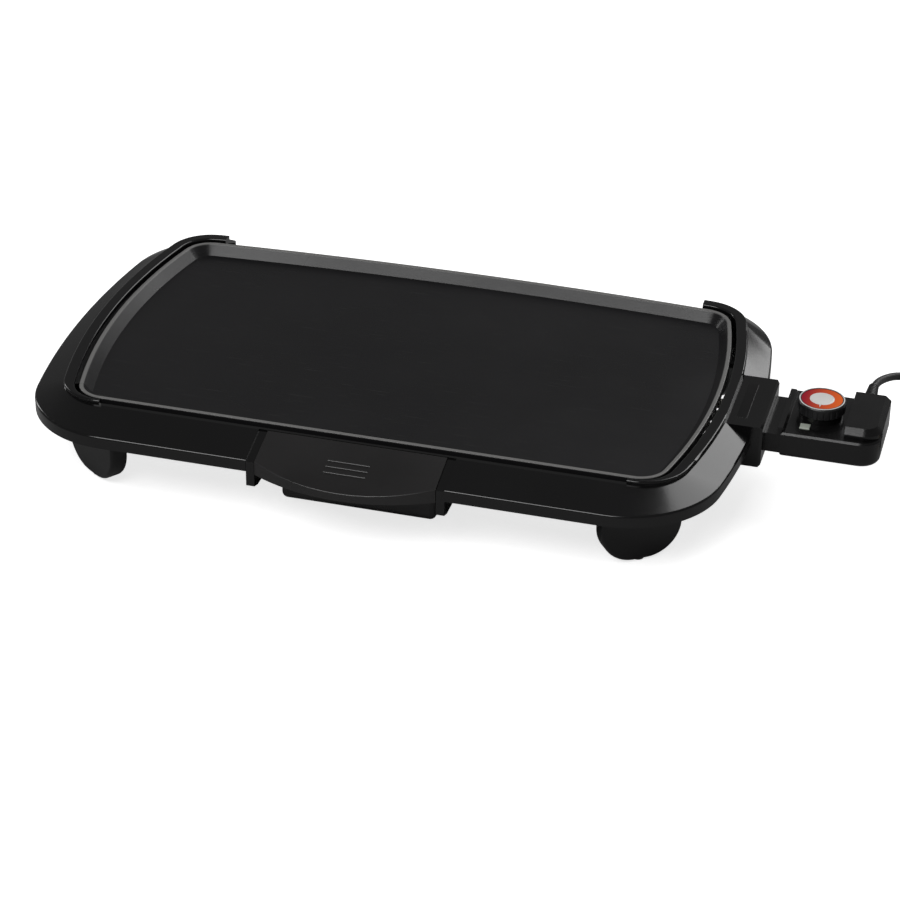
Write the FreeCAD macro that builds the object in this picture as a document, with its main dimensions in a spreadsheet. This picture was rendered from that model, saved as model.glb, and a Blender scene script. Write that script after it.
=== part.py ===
import FreeCAD, Part
import math
import os
import Sketcher

# Electric griddle: a cast cooking plate in a moulded frame on feet, with a drip tray that
# slides out at the front and a plug-in temperature probe at the right end.
# Millimetres, +Z up. The parts are laid out about the middle of the cooking plate on the table
# (X to the right, Y to the back), and every node is then shifted so that the origin is the middle
# of the whole footprint.

Vec = FreeCAD.Vector
doc = FreeCAD.newDocument("electric_griddle")

SIZES = {
    # cooking plate
    "half_length": 251, "half_width": 145, "end_radius": 525, "rear_radius": 3220, "plate_corner": 24,
    "rim_height": 72, "floor_drop": 8, "floor_thick": 5, "rim_land": 3, "wall_run": 7, "rim_side": 7, "rim_round": 0.9,
    "boss_inset_x": 48, "boss_inset_y": 45, "boss_radius": 6, "screw_radius": 2, "screw_play": 0.05,
    "drain_half": 20, "drain_width": 6, "drain_inset": 10.5, "spout_wall": 3, "spout_drop": 10,
    # frame
    "plate_gap": 3.5, "ridge_width": 9.5, "front_land": 3.5, "ridge_rise": 1.5, "land_drop": 2.5,
    "end_overhang": 32.5, "front_overhang": 40, "rear_overhang": 26, "edge_end_radius": 709,
    "edge_rear_radius": 6460, "edge_corner": 77.5, "edge_drop": 11.3, "skirt_height": 9.6,
    "wall": 2.6, "horn_inset": 42, "deck_drop": 17, "lug_height": 46, "lug_thick": 4, "lug_half": 10,
    "ridge_round": 1.6, "edge_round": 2,
    # heat shield and element
    "shield_inset": 12, "shield_thick": 0.8, "element_radius": 3.5, "element_sink": 0.5,
    "element_inset_x": 60, "element_half_y": 72, "axis_height": 51.5, "pin_spacing": 38,
    "pin_radius": 2.4, "pin_play": 0.05, "rod_radius": 3, "rod_play": 0.08, "sleeve_wall": 1.4,
    # drip tray and guides
    "tray_half": 71.2, "tray_bow": 146.2, "tray_bulge": 18.5, "tray_gap": 0.4, "guide_thick": 6.6,
    "guide_recess": 1.2, "guide_foot": 36, "ledge_reach": 5.4, "ledge_thick": 2.5, "tray_wall": 2.2,
    "lip_drop": 2, "bin_half": 62, "bin_length": 105, "bin_floor": 10.5, "bin_top": 46,
    "flange_thick": 2.2, "bar_half": 16.5, "bar_radius": 1.3, "bar_pitch": 6,
    # feet
    "foot_inset_x": 33.3, "foot_inset_y": 6.2, "foot_angle": 36.7, "foot_half": 33, "foot_thick": 15,
    "foot_curve": 28, "foot_lift": 1.5, "pad_radius": 5, "bore_radius": 4, "bore_depth": 34,
    "seat_radius": 30,
    # socket housing
    "socket_start": 11, "socket_length": 29.5, "socket_half": 40, "socket_low": 34, "socket_drop": 3,
    "mouth_play": 0.5, "badge_length": 56, "badge_width": 8, "badge_thick": 0.6,
    # temperature probe
    "neck_length": 26, "neck_half": 30, "neck_top": 60, "probe_gap": 13.5, "probe_length": 76,
    "probe_half": 36, "probe_low": 44, "deck_height": 65, "probe_round": 16, "probe_chamfer": 4.5,
    "probe_rear_round": 5, "deck_chamfer": 1.4, "shell": 2.2, "block_length": 28, "block_front": 30,
    "block_round": 14, "block_height": 73,
    "rod_length": 70, "contact_length": 18, "contact_wall": 1.15, "knob_inset": 25.5,
    "knob_radius": 18.6, "knob_base": 71, "knob_height": 80, "ring_radius": 16, "cap_radius": 9.6,
    "boss_top": 70.5, "shaft_radius": 3, "shaft_play": 0.05, "lens_x": 16.5, "lens_y": 21,
    "lens_length": 8, "lens_width": 8,
    # supply cord
    "cord_radius": 3.2, "relief_length": 22, "relief_radius": 5.6, "cord_exit_x": 17.5,
    "cord_exit_z": 64, "coil_radius": 36, "coil_turn_width": 13.2, "coil_height": 13,
}

sheet = doc.addObject("Spreadsheet::Sheet", "Sizes")
for row, (alias, number) in enumerate(SIZES.items(), start=1):
    sheet.set("A%d" % row, alias)
    sheet.set("B%d" % row, str(number))
    sheet.setAlias("B%d" % row, alias)
doc.recompute()


class Size:
    """A dimension: its value in millimetres and the sheet formula that gives it."""

    def __init__(self, value, text):
        self.value = value
        self.text = text

    def __add__(self, other):
        other = as_size(other)
        return Size(self.value + other.value, "(%s + %s)" % (self.text, other.text))

    def __sub__(self, other):
        other = as_size(other)
        return Size(self.value - other.value, "(%s - %s)" % (self.text, other.text))

    def __mul__(self, other):
        other = as_size(other)
        return Size(self.value * other.value, "(%s * %s)" % (self.text, other.text))

    def __neg__(self):
        return self * -1


def as_size(value):
    return value if isinstance(value, Size) else Size(float(value), "(%s)" % value)


def size(alias):
    return Size(float(sheet.get(alias)), "Sizes.%s" % alias)


# building helpers

spots = {}


def bind(thing, **sizes):
    for name, value in sizes.items():
        value = as_size(value)
        setattr(thing, name, value.value)
        thing.setExpression(name, value.text)


def place(thing, x, y, z, rotation=None):
    """Put a thing at a point given as sizes, so that it follows the sheet."""
    spot = [as_size(x), as_size(y), as_size(z)]
    turn = rotation or FreeCAD.Rotation()
    thing.Placement = FreeCAD.Placement(Vec(*[part.value for part in spot]), turn)
    for axis, part in zip("xyz", spot):
        thing.setExpression("Placement.Base.%s" % axis, part.text)
    spots[thing.Name] = (spot, turn)
    return thing


def box(name, x, y, z):
    """A block between two sizes on each axis."""
    block = doc.addObject("Part::Box", name)
    (x0, x1), (y0, y1), (z0, z1) = [[as_size(end) for end in pair] for pair in (x, y, z)]
    bind(block, Length=x1 - x0, Width=y1 - y0, Height=z1 - z0)
    return place(block, x0, y0, z0)


TURNS = {
    "+z": FreeCAD.Rotation(),
    "+x": FreeCAD.Rotation(Vec(0, 1, 0), 90),
    "+y": FreeCAD.Rotation(Vec(1, 0, 0), -90),
    "-y": FreeCAD.Rotation(Vec(1, 0, 0), 90),
}


def rod(name, radius, length, start, along="+z"):
    """A cylinder from a start point along an axis."""
    cylinder = doc.addObject("Part::Cylinder", name)
    bind(cylinder, Radius=radius, Height=length)
    return place(cylinder, *start, rotation=TURNS[along])


def cut(name, base, *tools):
    for count, tool in enumerate(tools):
        last = count == len(tools) - 1
        result = doc.addObject("Part::Cut", name if last else "%s_step%d" % (name, count))
        result.Base = base
        result.Tool = tool
        base = result
    return base


def fuse(name, *shapes):
    result = doc.addObject("Part::MultiFuse", name)
    result.Shapes = list(shapes)
    result.Refine = True
    return result


def common(name, *shapes):
    result = doc.addObject("Part::MultiCommon", name)
    result.Shapes = list(shapes)
    return result


def group(name, *solids):
    """Separate solids that share a node."""
    result = doc.addObject("Part::Compound", name)
    result.Links = list(solids)
    return result


def soften(name, base, kind, amount, wanted):
    """Fillet or chamfer the edges of a shape that a test picks out."""
    doc.recompute()
    result = doc.addObject("Part::%s" % kind, name)
    result.Base = base
    picked = [i for i, edge in enumerate(base.Shape.Edges, start=1) if wanted(edge)]
    if not picked:
        raise ValueError("%s: no edge to soften" % name)
    result.Edges = [(i, amount.value, amount.value) for i in picked]
    return result


def upright(edge):
    """True for a straight vertical edge."""
    first, last = edge.firstVertex().Point, edge.lastVertex().Point
    return abs(first.x - last.x) < 1e-6 and abs(first.y - last.y) < 1e-6


def level_at(height):
    """A test for edges that lie in the plane at a height."""
    return lambda edge: all(abs(vertex.Z - height.value) < 1e-5 for vertex in edge.Vertexes)


def bound_sketch(sketch, geometry, fixed):
    """Add geometry and constraints; a constraint with a size takes its value from the sheet."""
    sketch.addGeometry(geometry, False)
    for parts in fixed:
        if isinstance(parts[-1], Size):
            index = sketch.addConstraint(Sketcher.Constraint(*parts[:-1], parts[-1].value))
            sketch.setExpression("Constraints[%d]" % index, parts[-1].text)
        else:
            sketch.addConstraint(Sketcher.Constraint(*parts))


def polygon(sketch, points):
    """Draw a closed polygon whose corners are pairs of sizes."""
    points = [(as_size(x), as_size(y)) for x, y in points]
    corners = [Vec(x.value, y.value, 0) for x, y in points]
    count = len(corners)
    lines = [Part.LineSegment(corners[i], corners[(i + 1) % count]) for i in range(count)]
    fixed = [("Coincident", i, 2, (i + 1) % count, 1) for i in range(count)]
    for i, (x, y) in enumerate(points):
        fixed.append(("DistanceX", -1, 1, i, 1, x))
        fixed.append(("DistanceY", -1, 1, i, 1, y))
    bound_sketch(sketch, lines, fixed)


def body_sketch(body, role, points):
    """A polygon sketch on one of a body's own origin planes."""
    plane = [item for item in body.Origin.OriginFeatures if item.Role == role][0]
    sketch = body.newObject("Sketcher::SketchObject", body.Name + "_sketch")
    sketch.AttachmentSupport = [(plane, "")]
    sketch.MapMode = "FlatFace"
    polygon(sketch, points)
    return sketch


def turned(name, points, axis="V_Axis"):
    """A body of revolution from a half section in the XZ plane."""
    body = doc.addObject("PartDesign::Body", name)
    sketch = body_sketch(body, "XZ_Plane", points)
    revolution = body.newObject("PartDesign::Revolution", name + "_turn")
    revolution.Profile = sketch
    revolution.ReferenceAxis = (sketch, [axis])
    revolution.Angle = 360
    sketch.Visibility = False
    return body


def padded(name, role, points, length):
    """A body with one straight pad from a polygon on an origin plane."""
    body = doc.addObject("PartDesign::Body", name)
    sketch = body_sketch(body, role, points)
    pad = body.newObject("PartDesign::Pad", name + "_pad")
    pad.Profile = sketch
    bind(pad, Length=length)
    sketch.Visibility = False
    return body


def extrude(name, sketch, length):
    solid = doc.addObject("Part::Extrusion", name)
    solid.Base = sketch
    solid.DirMode = "Normal"
    solid.Solid = True
    bind(solid, LengthFwd=length)
    return solid


def slab_x(name, points, x0, x1):
    """A solid with a polygon section in the YZ plane, from x0 to x1."""
    x0 = as_size(x0)
    sketch = doc.addObject("Sketcher::SketchObject", name + "_sketch")
    polygon(sketch, points)
    place(sketch, x0, 0, 0, FreeCAD.Rotation(Vec(1, 1, 1), 120))
    return extrude(name, sketch, as_size(x1) - x0)


def loft(name, *sketches):
    solid = doc.addObject("Part::Loft", name)
    solid.Sections = list(sketches)
    solid.Solid = True
    solid.Ruled = True
    return solid


def bowed_outline(name, form, offset, height):
    """A closed outline: straight front, bowed ends and rear, all joined by tangent corner arcs."""
    offset = as_size(offset)
    side = form["half_length"] + offset
    front = form["front"] + offset
    end_radius = form["end_radius"] + offset
    end_x = side - end_radius
    end_y = form["end_y"]
    rear_radius = form["rear_radius"] + offset
    rear_y = form["rear"] + offset - rear_radius
    corner = form["corner"] + offset

    reach = end_radius.value - corner.value
    low_y = -front.value + corner.value
    low_x = end_x.value + math.sqrt(reach ** 2 - (low_y - end_y.value) ** 2)
    low_angle = math.atan2(low_y - end_y.value, low_x - end_x.value)
    rear_reach = rear_radius.value - corner.value
    apart = math.hypot(end_x.value, rear_y.value - end_y.value)
    along = (reach ** 2 - rear_reach ** 2 + apart ** 2) / (2 * apart)
    across = math.sqrt(reach ** 2 - along ** 2)
    unit_x, unit_y = -end_x.value / apart, (rear_y.value - end_y.value) / apart
    high_x = end_x.value + along * unit_x - across * unit_y
    high_y = end_y.value + along * unit_y + across * unit_x
    high_angle = math.atan2(high_y - end_y.value, high_x - end_x.value)
    rear_angle = math.atan2(high_y - rear_y.value, high_x)

    def arc(x, y, radius, start, end):
        circle = Part.Circle(Vec(x, y, 0), Vec(0, 0, 1), radius.value)
        return Part.ArcOfCircle(circle, start, end)

    half, turn = math.pi / 2, math.pi
    geometry = [
        Part.LineSegment(Vec(-low_x, -front.value, 0), Vec(low_x, -front.value, 0)),
        arc(low_x, low_y, corner, -half, low_angle),
        arc(end_x.value, end_y.value, end_radius, low_angle, high_angle),
        arc(high_x, high_y, corner, high_angle, rear_angle),
        arc(0, rear_y.value, rear_radius, rear_angle, turn - rear_angle),
        arc(-high_x, high_y, corner, turn - rear_angle, turn - high_angle),
        arc(-end_x.value, end_y.value, end_radius, turn - high_angle, turn - low_angle),
        arc(-low_x, low_y, corner, turn - low_angle, turn + half),
    ]
    fixed = [("Tangent", i, 2, (i + 1) % 8, 1) for i in range(8)]
    fixed += [
        ("Horizontal", 0), ("DistanceY", -1, 1, 0, 1, -front),
        ("Radius", 1, corner), ("Equal", 1, 3), ("Equal", 1, 5), ("Equal", 1, 7),
        ("Radius", 2, end_radius), ("Equal", 2, 6), ("Radius", 4, rear_radius),
        ("DistanceX", -1, 1, 2, 3, end_x), ("DistanceY", -1, 1, 2, 3, end_y),
        ("DistanceX", -1, 1, 6, 3, -end_x), ("DistanceY", -1, 1, 6, 3, end_y),
        ("PointOnObject", 4, 3, -2), ("DistanceY", -1, 1, 4, 3, rear_y),
    ]
    sketch = doc.addObject("Sketcher::SketchObject", name + "_outline")
    bound_sketch(sketch, geometry, fixed)
    return place(sketch, 0, 0, height)


def prism(name, form, offset, low, high):
    low = as_size(low)
    return extrude(name, bowed_outline(name, form, offset, low), as_size(high) - low)


def tube(points, radius, bends):
    """A round bar along straight runs joined by tangent arcs, one bend radius for each inner point."""
    edges = []
    last = points[0]
    for before, corner, after, bend in zip(points, points[1:], points[2:], bends):
        inward = (before - corner).normalize()
        onward = (after - corner).normalize()
        turn = math.pi - inward.getAngle(onward)
        setback = bend * math.tan(turn / 2)
        start, end = corner + inward * setback, corner + onward * setback
        bisector = (inward + onward).normalize()
        centre = corner + bisector * (bend / math.cos(turn / 2))
        middle = centre - bisector * bend
        edges.append(Part.LineSegment(last, start).toShape())
        edges.append(Part.Arc(start, middle, end).toShape())
        last = end
    edges.append(Part.LineSegment(last, points[-1]).toShape())
    path = Part.Wire(edges)
    direction = (points[1] - points[0]).normalize()
    section = Part.Wire([Part.makeCircle(radius, points[0], direction)])
    solid = path.makePipeShell([section], True, False)
    expected = math.pi * radius ** 2 * path.Length
    print("tube volume %.1f, section times length %.1f" % (solid.Volume, expected))
    if abs(solid.Volume - expected) > 0.01 * expected:
        raise ValueError("the tube's volume is not its section times its length")
    return solid, path.Length


def shaped(name, shape):
    feature = doc.addObject("Part::Feature", name)
    feature.Shape = shape
    return feature


# levels and places

half_length, half_width = size("half_length"), size("half_width")
rim_top = size("rim_height")
floor_top = rim_top - size("floor_drop")
floor_low = floor_top - size("floor_thick")
land_top = rim_top - size("land_drop")
ridge_top = rim_top + size("ridge_rise")
edge_height = rim_top - size("edge_drop")
skirt_low = edge_height - size("skirt_height")
wall, shell = size("wall"), size("shell")
lug_low = size("lug_height")
lug_top = lug_low + size("lug_thick")
shield_top = lug_top + size("shield_thick")
axis_z = size("axis_height")
pin_y = size("pin_spacing") * 0.5
boss_x = half_length - size("boss_inset_x")
boss_y = half_width - size("boss_inset_y")
front_edge = -(half_width + size("front_overhang"))
rear_edge = half_width + size("rear_overhang")
inner_wall_front = -(half_width + size("plate_gap") + wall)
tray_front = front_edge - size("tray_bulge")
socket_x0 = half_length + size("socket_start")
socket_x1 = socket_x0 + size("socket_length")
probe_x0 = socket_x1 + size("probe_gap")
probe_x1 = probe_x0 + size("probe_length")
neck_x0 = probe_x0 - size("neck_length")
knob_x = probe_x0 + size("knob_inset")
shift_x = (half_length + size("end_overhang") - probe_x1) * 0.5
shift_y = (tray_front + rear_edge) * -0.5

PLATE = {
    "half_length": half_length, "front": half_width, "rear": half_width, "end_y": as_size(0),
    "end_radius": size("end_radius"), "rear_radius": size("rear_radius"),
    "corner": size("plate_corner"),
}
ridge_out = size("plate_gap") + size("ridge_width")
RIDGE = {
    "half_length": half_length + ridge_out, "rear": half_width + ridge_out, "end_y": as_size(0),
    "front": half_width + size("plate_gap") + size("front_land"),
    "end_radius": size("end_radius") + ridge_out, "rear_radius": size("rear_radius") + ridge_out,
    "corner": size("plate_corner") + ridge_out,
}
EDGE = {
    "half_length": half_length + size("end_overhang"), "front": -front_edge, "rear": rear_edge,
    "end_y": (size("rear_overhang") - size("front_overhang")) * 0.5,
    "end_radius": size("edge_end_radius"), "rear_radius": size("edge_rear_radius"),
    "corner": size("edge_corner"),
}

nodes = []


def node(name, thing):
    """Name a finished sub-part and shift it to the part's own origin."""
    spot, turn = spots.get(thing.Name, ([as_size(0)] * 3, FreeCAD.Rotation()))
    if thing.isDerivedFrom("Part::Feature") and thing.TypeId == "Part::Feature":
        thing.Placement = FreeCAD.Placement(Vec(shift_x.value, shift_y.value, 0), turn)
    else:
        place(thing, spot[0] + shift_x, spot[1] + shift_y, spot[2], turn)
    thing.Label = name
    nodes.append(thing)
    return thing


def four_corners(x, y):
    for side, sign_x in (("left", -1), ("right", 1)):
        for end, sign_y in (("front", -1), ("rear", 1)):
            yield "%s_%s" % (end, side), x * sign_x, y * sign_y


# cooking plate

slope = size("rim_land") + size("wall_run")
rim_low = rim_top - size("rim_side")
plate_rim = prism("plate_rim", PLATE, 0, rim_low, rim_top)
plate_pan = loft("plate_pan", bowed_outline("pan_high", PLATE, 0, rim_low),
                 bowed_outline("pan_low", PLATE, -slope, floor_low))
plate_dish = loft("plate_dish", bowed_outline("dish_high", PLATE, -size("rim_land"), rim_top),
                  bowed_outline("dish_low", PLATE, -slope, floor_top))
boss_bars = []
boss_holes = []
for corner_name, x, y in four_corners(boss_x, boss_y):
    boss_bars.append(rod("boss_" + corner_name, size("boss_radius"), floor_low - shield_top + 1,
                         (x, y, shield_top)))
    boss_holes.append(rod("boss_hole_" + corner_name, size("screw_radius") + size("screw_play"),
                          floor_low - shield_top - 1, (x, y, shield_top)))
drain_y0 = -(half_width - size("drain_inset"))
drain_y1 = drain_y0 + size("drain_width")
drain_x = size("drain_half")
spout_wall = size("spout_wall")
spout = box("spout", (-drain_x - spout_wall, drain_x + spout_wall),
            (drain_y0 - spout_wall, drain_y1 + spout_wall), (floor_low - size("spout_drop"), floor_low + 1))
drain = box("drain", (-drain_x, drain_x), (drain_y0, drain_y1),
            (floor_low - size("spout_drop") - 1, floor_top + 1))
sleeve_radius = size("rod_radius") + size("rod_play") + size("sleeve_wall")
sleeve_x0 = socket_x0 - 38
saddle = box("sleeve_saddle", (sleeve_x0 + 2, half_length - slope - 1), (-6.5, 6.5), (axis_z, floor_low + 1))
saddle_bore = rod("saddle_bore", sleeve_radius, socket_x0 - sleeve_x0, (sleeve_x0, 0, axis_z), "+x")

element_z = floor_low - size("element_radius") + size("element_sink")
element_x = half_length - size("element_inset_x")
element_y = size("element_half_y")
loop_half = [(socket_x0 - 14, pin_y, axis_z), (socket_x0 - 30, pin_y, axis_z),
             (socket_x0 - 46, pin_y, element_z), (element_x, pin_y, element_z),
             (element_x - 24, element_y, element_z), (-element_x, element_y, element_z)]
upper_run = [Vec(as_size(x).value, y.value, z.value) for x, y, z in loop_half]
lower_run = [Vec(point.x, -point.y, point.z) for point in reversed(upper_run)]
loop_bends = [24, 24, 14, 26, 40, 40, 26, 14, 24, 24]
element_shape, element_length = tube(upper_run + lower_run, size("element_radius").value, loop_bends)
print("heating element %.0f mm long" % element_length)
heating_element = node("heating_element", shaped("heating_element", element_shape))
element_groove = shaped("element_groove", element_shape)

plate_cut = cut("plate_cut", fuse("plate_blank", plate_rim, plate_pan, spout, saddle, *boss_bars),
                plate_dish, drain, saddle_bore, *boss_holes, element_groove)
griddle_plate = soften("griddle_plate", plate_cut, "Fillet", size("rim_round"), level_at(rim_top))
node("griddle_plate", griddle_plate)

# element terminals and probe sleeve

terminal_pins = []
terminal_beads = []
for label, y in (("front", -pin_y), ("rear", pin_y)):
    terminal_pins.append(rod("pin_" + label, size("pin_radius"), 37, (socket_x0 - 14, y, axis_z), "+x"))
    bead = rod("bead_" + label, 4.6, 6, (socket_x0 - 14, y, axis_z), "+x")
    bead_hole = rod("bead_hole_" + label, size("pin_radius"), 8, (socket_x0 - 15, y, axis_z), "+x")
    terminal_beads.append(cut("bead_cut_" + label, bead, bead_hole))
node("terminal_pins", group("terminal_pins", *terminal_pins))
node("terminal_beads", group("terminal_beads", *terminal_beads))
sleeve_bore = size("rod_radius") + size("rod_play")
probe_sleeve = cut("probe_sleeve",
                   rod("sleeve_bar", sleeve_radius, socket_x0 - sleeve_x0, (sleeve_x0, 0, axis_z), "+x"),
                   rod("sleeve_hole", sleeve_bore, 37, (sleeve_x0 + 1, 0, axis_z), "+x"))
node("probe_sleeve", probe_sleeve)

# heat shield

shield_sheet = prism("shield_sheet", PLATE, -size("shield_inset"), lug_top, shield_top)
shield_holes = [rod("shield_hole_" + corner_name, size("screw_radius") + size("screw_play"), 5,
                    (x, y, lug_top - 2)) for corner_name, x, y in four_corners(boss_x, boss_y)]
spout_window = box("spout_window", (-drain_x - spout_wall - 3, drain_x + spout_wall + 3),
                   (drain_y0 - spout_wall - 3, drain_y1 + spout_wall + 3), (lug_top - 1, shield_top + 1))
terminal_notch = box("terminal_notch", (sleeve_x0 - 14, half_length), (-pin_y - 9, pin_y + 9),
                     (lug_top - 1, shield_top + 1))
guide_x0 = size("tray_half") + size("tray_gap")
guide_x1 = guide_x0 + size("guide_thick")
guide_mid = guide_x0 + size("guide_thick") * 0.5
bin_front = inner_wall_front - 1
bin_rear = bin_front + size("bin_length")
guide_screw_y = bin_rear - 12
guide_holes = [rod("shield_guide_hole_%d" % index, 1.5, 5, (x, guide_screw_y, lug_top - 2))
               for index, x in enumerate((-guide_mid, guide_mid))]
heat_shield = cut("heat_shield", shield_sheet, spout_window, terminal_notch, *shield_holes, *guide_holes)
node("heat_shield", heat_shield)

# base frame

gap = size("plate_gap")
skirt = prism("skirt", EDGE, 0, skirt_low, edge_height)
bevel = loft("bevel", bowed_outline("bevel_low", EDGE, 0, edge_height),
             bowed_outline("bevel_high", RIDGE, 0, land_top))
skirt_room = prism("skirt_room", EDGE, -wall, skirt_low - 1, edge_height - 1)
bevel_room = loft("bevel_room", bowed_outline("room_low", EDGE, -wall, edge_height - 1),
                  bowed_outline("room_high", RIDGE, -wall, land_top - wall))
inner_core = prism("inner_core", PLATE, gap + wall, skirt_low - 2, rim_top)
room = cut("frame_room", fuse("room_blank", skirt_room, bevel_room), inner_core)
inner_wall = prism("inner_wall", PLATE, gap + wall, lug_low, land_top - 1)
opening = prism("opening", PLATE, gap, lug_low - 1, ridge_top + 5)
horn_x = half_length - size("horn_inset")
ridge_band = prism("ridge_band", RIDGE, 0, land_top - 1, ridge_top)
ridge_gap = box("ridge_gap", (-horn_x, horn_x), (front_edge, rear_edge), (land_top - 2, ridge_top + 1))
ridge_hole = prism("ridge_hole", PLATE, gap, land_top - 2, ridge_top + 1)
ridges = soften("ridges", cut("ridge_blank", ridge_band, ridge_gap, ridge_hole), "Fillet",
                size("ridge_round"), lambda edge: level_at(ridge_top)(edge) and edge.Length > 12)
deck_top = rim_top - size("deck_drop")
deck_span = box("deck_span", (-horn_x - 3, horn_x + 3), (half_width - 15, rear_edge + 5),
                (deck_top - wall, deck_top))
deck = common("rear_deck", deck_span, prism("deck_outline", EDGE, 0, skirt_low, edge_height))
frame_form = soften("frame_form", fuse("frame_blank", skirt, bevel), "Fillet", size("edge_round"),
                    level_at(edge_height))
shell_blank = cut("frame_shell", frame_form, room)
rear_cut = box("rear_cut", (-horn_x, horn_x), (half_width - 15, rear_edge + 5), (deck_top, ridge_top + 5))
frame_ring = cut("frame_ring", fuse("frame_walls", cut("open_rear", fuse("shell_walls", shell_blank, inner_wall),
                                                       rear_cut), ridges, deck), opening)
lugs = [box("lug_" + corner_name, (x - 10, half_length + 10) if x.value > 0 else (-half_length - 10, x + 10),
            (y - size("lug_half"), y + size("lug_half")), (lug_low, lug_top))
        for corner_name, x, y in four_corners(boss_x, boss_y)]
foot_x = half_length - size("foot_inset_x")
foot_front = half_width - size("foot_inset_y")
foot_rear = foot_front + size("rear_overhang") - size("front_overhang")
foot_spots = [("front_left", -foot_x, -foot_front, -1, -1), ("front_right", foot_x, -foot_front, 1, -1),
              ("rear_left", -foot_x, foot_rear, -1, 1), ("rear_right", foot_x, foot_rear, 1, 1)]
seats = [rod("seat_" + label, size("seat_radius"), lug_top - lug_low, (x, y, lug_low))
         for label, x, y, sign_x, sign_y in foot_spots]
inner_lugs = common("inner_lugs", fuse("lug_blank", *lugs), prism("lug_limit", PLATE, gap + 1, lug_low, lug_top))
screw_bores = [rod("lug_hole_" + corner_name, size("screw_radius") + size("screw_play"), 8, (x, y, lug_low - 2))
               for corner_name, x, y in four_corners(boss_x, boss_y)]
seat_bores = [rod("seat_hole_" + label, size("screw_radius"), 8, (x, y, lug_low - 2))
              for label, x, y, sign_x, sign_y in foot_spots]
notch = box("tray_notch", (-guide_x1, guide_x1), (front_edge - 5, inner_wall_front), (lug_low - 1, ridge_top))
under_bridge = box("under_bridge", (-guide_x1, guide_x1), (inner_wall_front - 1, inner_wall_front + 10),
                   (lug_low - 1, rim_top - 12))
socket_room = box("socket_room", (socket_x0, socket_x1 + 5), (-size("socket_half"), size("socket_half")),
                  (size("socket_low"), ridge_top + 5))
terminal_window = box("terminal_window", (half_length - 5, socket_x0), (-pin_y - 7, pin_y + 7),
                      (lug_low - 1, axis_z + 6))
socket_screw_y = size("socket_half") - 7
socket_screw_z = lug_low + 3.5
socket_bores = [rod("frame_socket_hole_%d" % index, 1.5, 14, (half_length, y, socket_screw_z), "+x")
                for index, y in enumerate((-socket_screw_y, socket_screw_y))]
base_frame = cut("base_frame", fuse("frame_joined", frame_ring, inner_lugs, *seats), notch, under_bridge,
                 socket_room, terminal_window, *socket_bores, *screw_bores, *seat_bores)
node("base_frame", base_frame)


def screw(name, radius, length, start, along="+z", head=1.7):
    """A pan-head screw: the start is the seat of its head, and the shank runs along the axis."""
    shank = rod(name + "_shank", radius, length, start, along)
    thick = radius * 0.9
    x, y, z = [as_size(part) for part in start]
    back = {"+z": (x, y, z - thick), "+x": (x - thick, y, z), "+y": (x, y - thick, z)}[along]
    cap = rod(name + "_head", radius * head, thick, back, along)
    return fuse(name, shank, cap)


screw_radius = size("screw_radius")
plate_screws = [screw("plate_screw_" + corner_name, screw_radius, 10, (x, y, lug_low))
                for corner_name, x, y in four_corners(boss_x, boss_y)]
node("plate_screws", group("plate_screws", *plate_screws))

# feet

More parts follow.
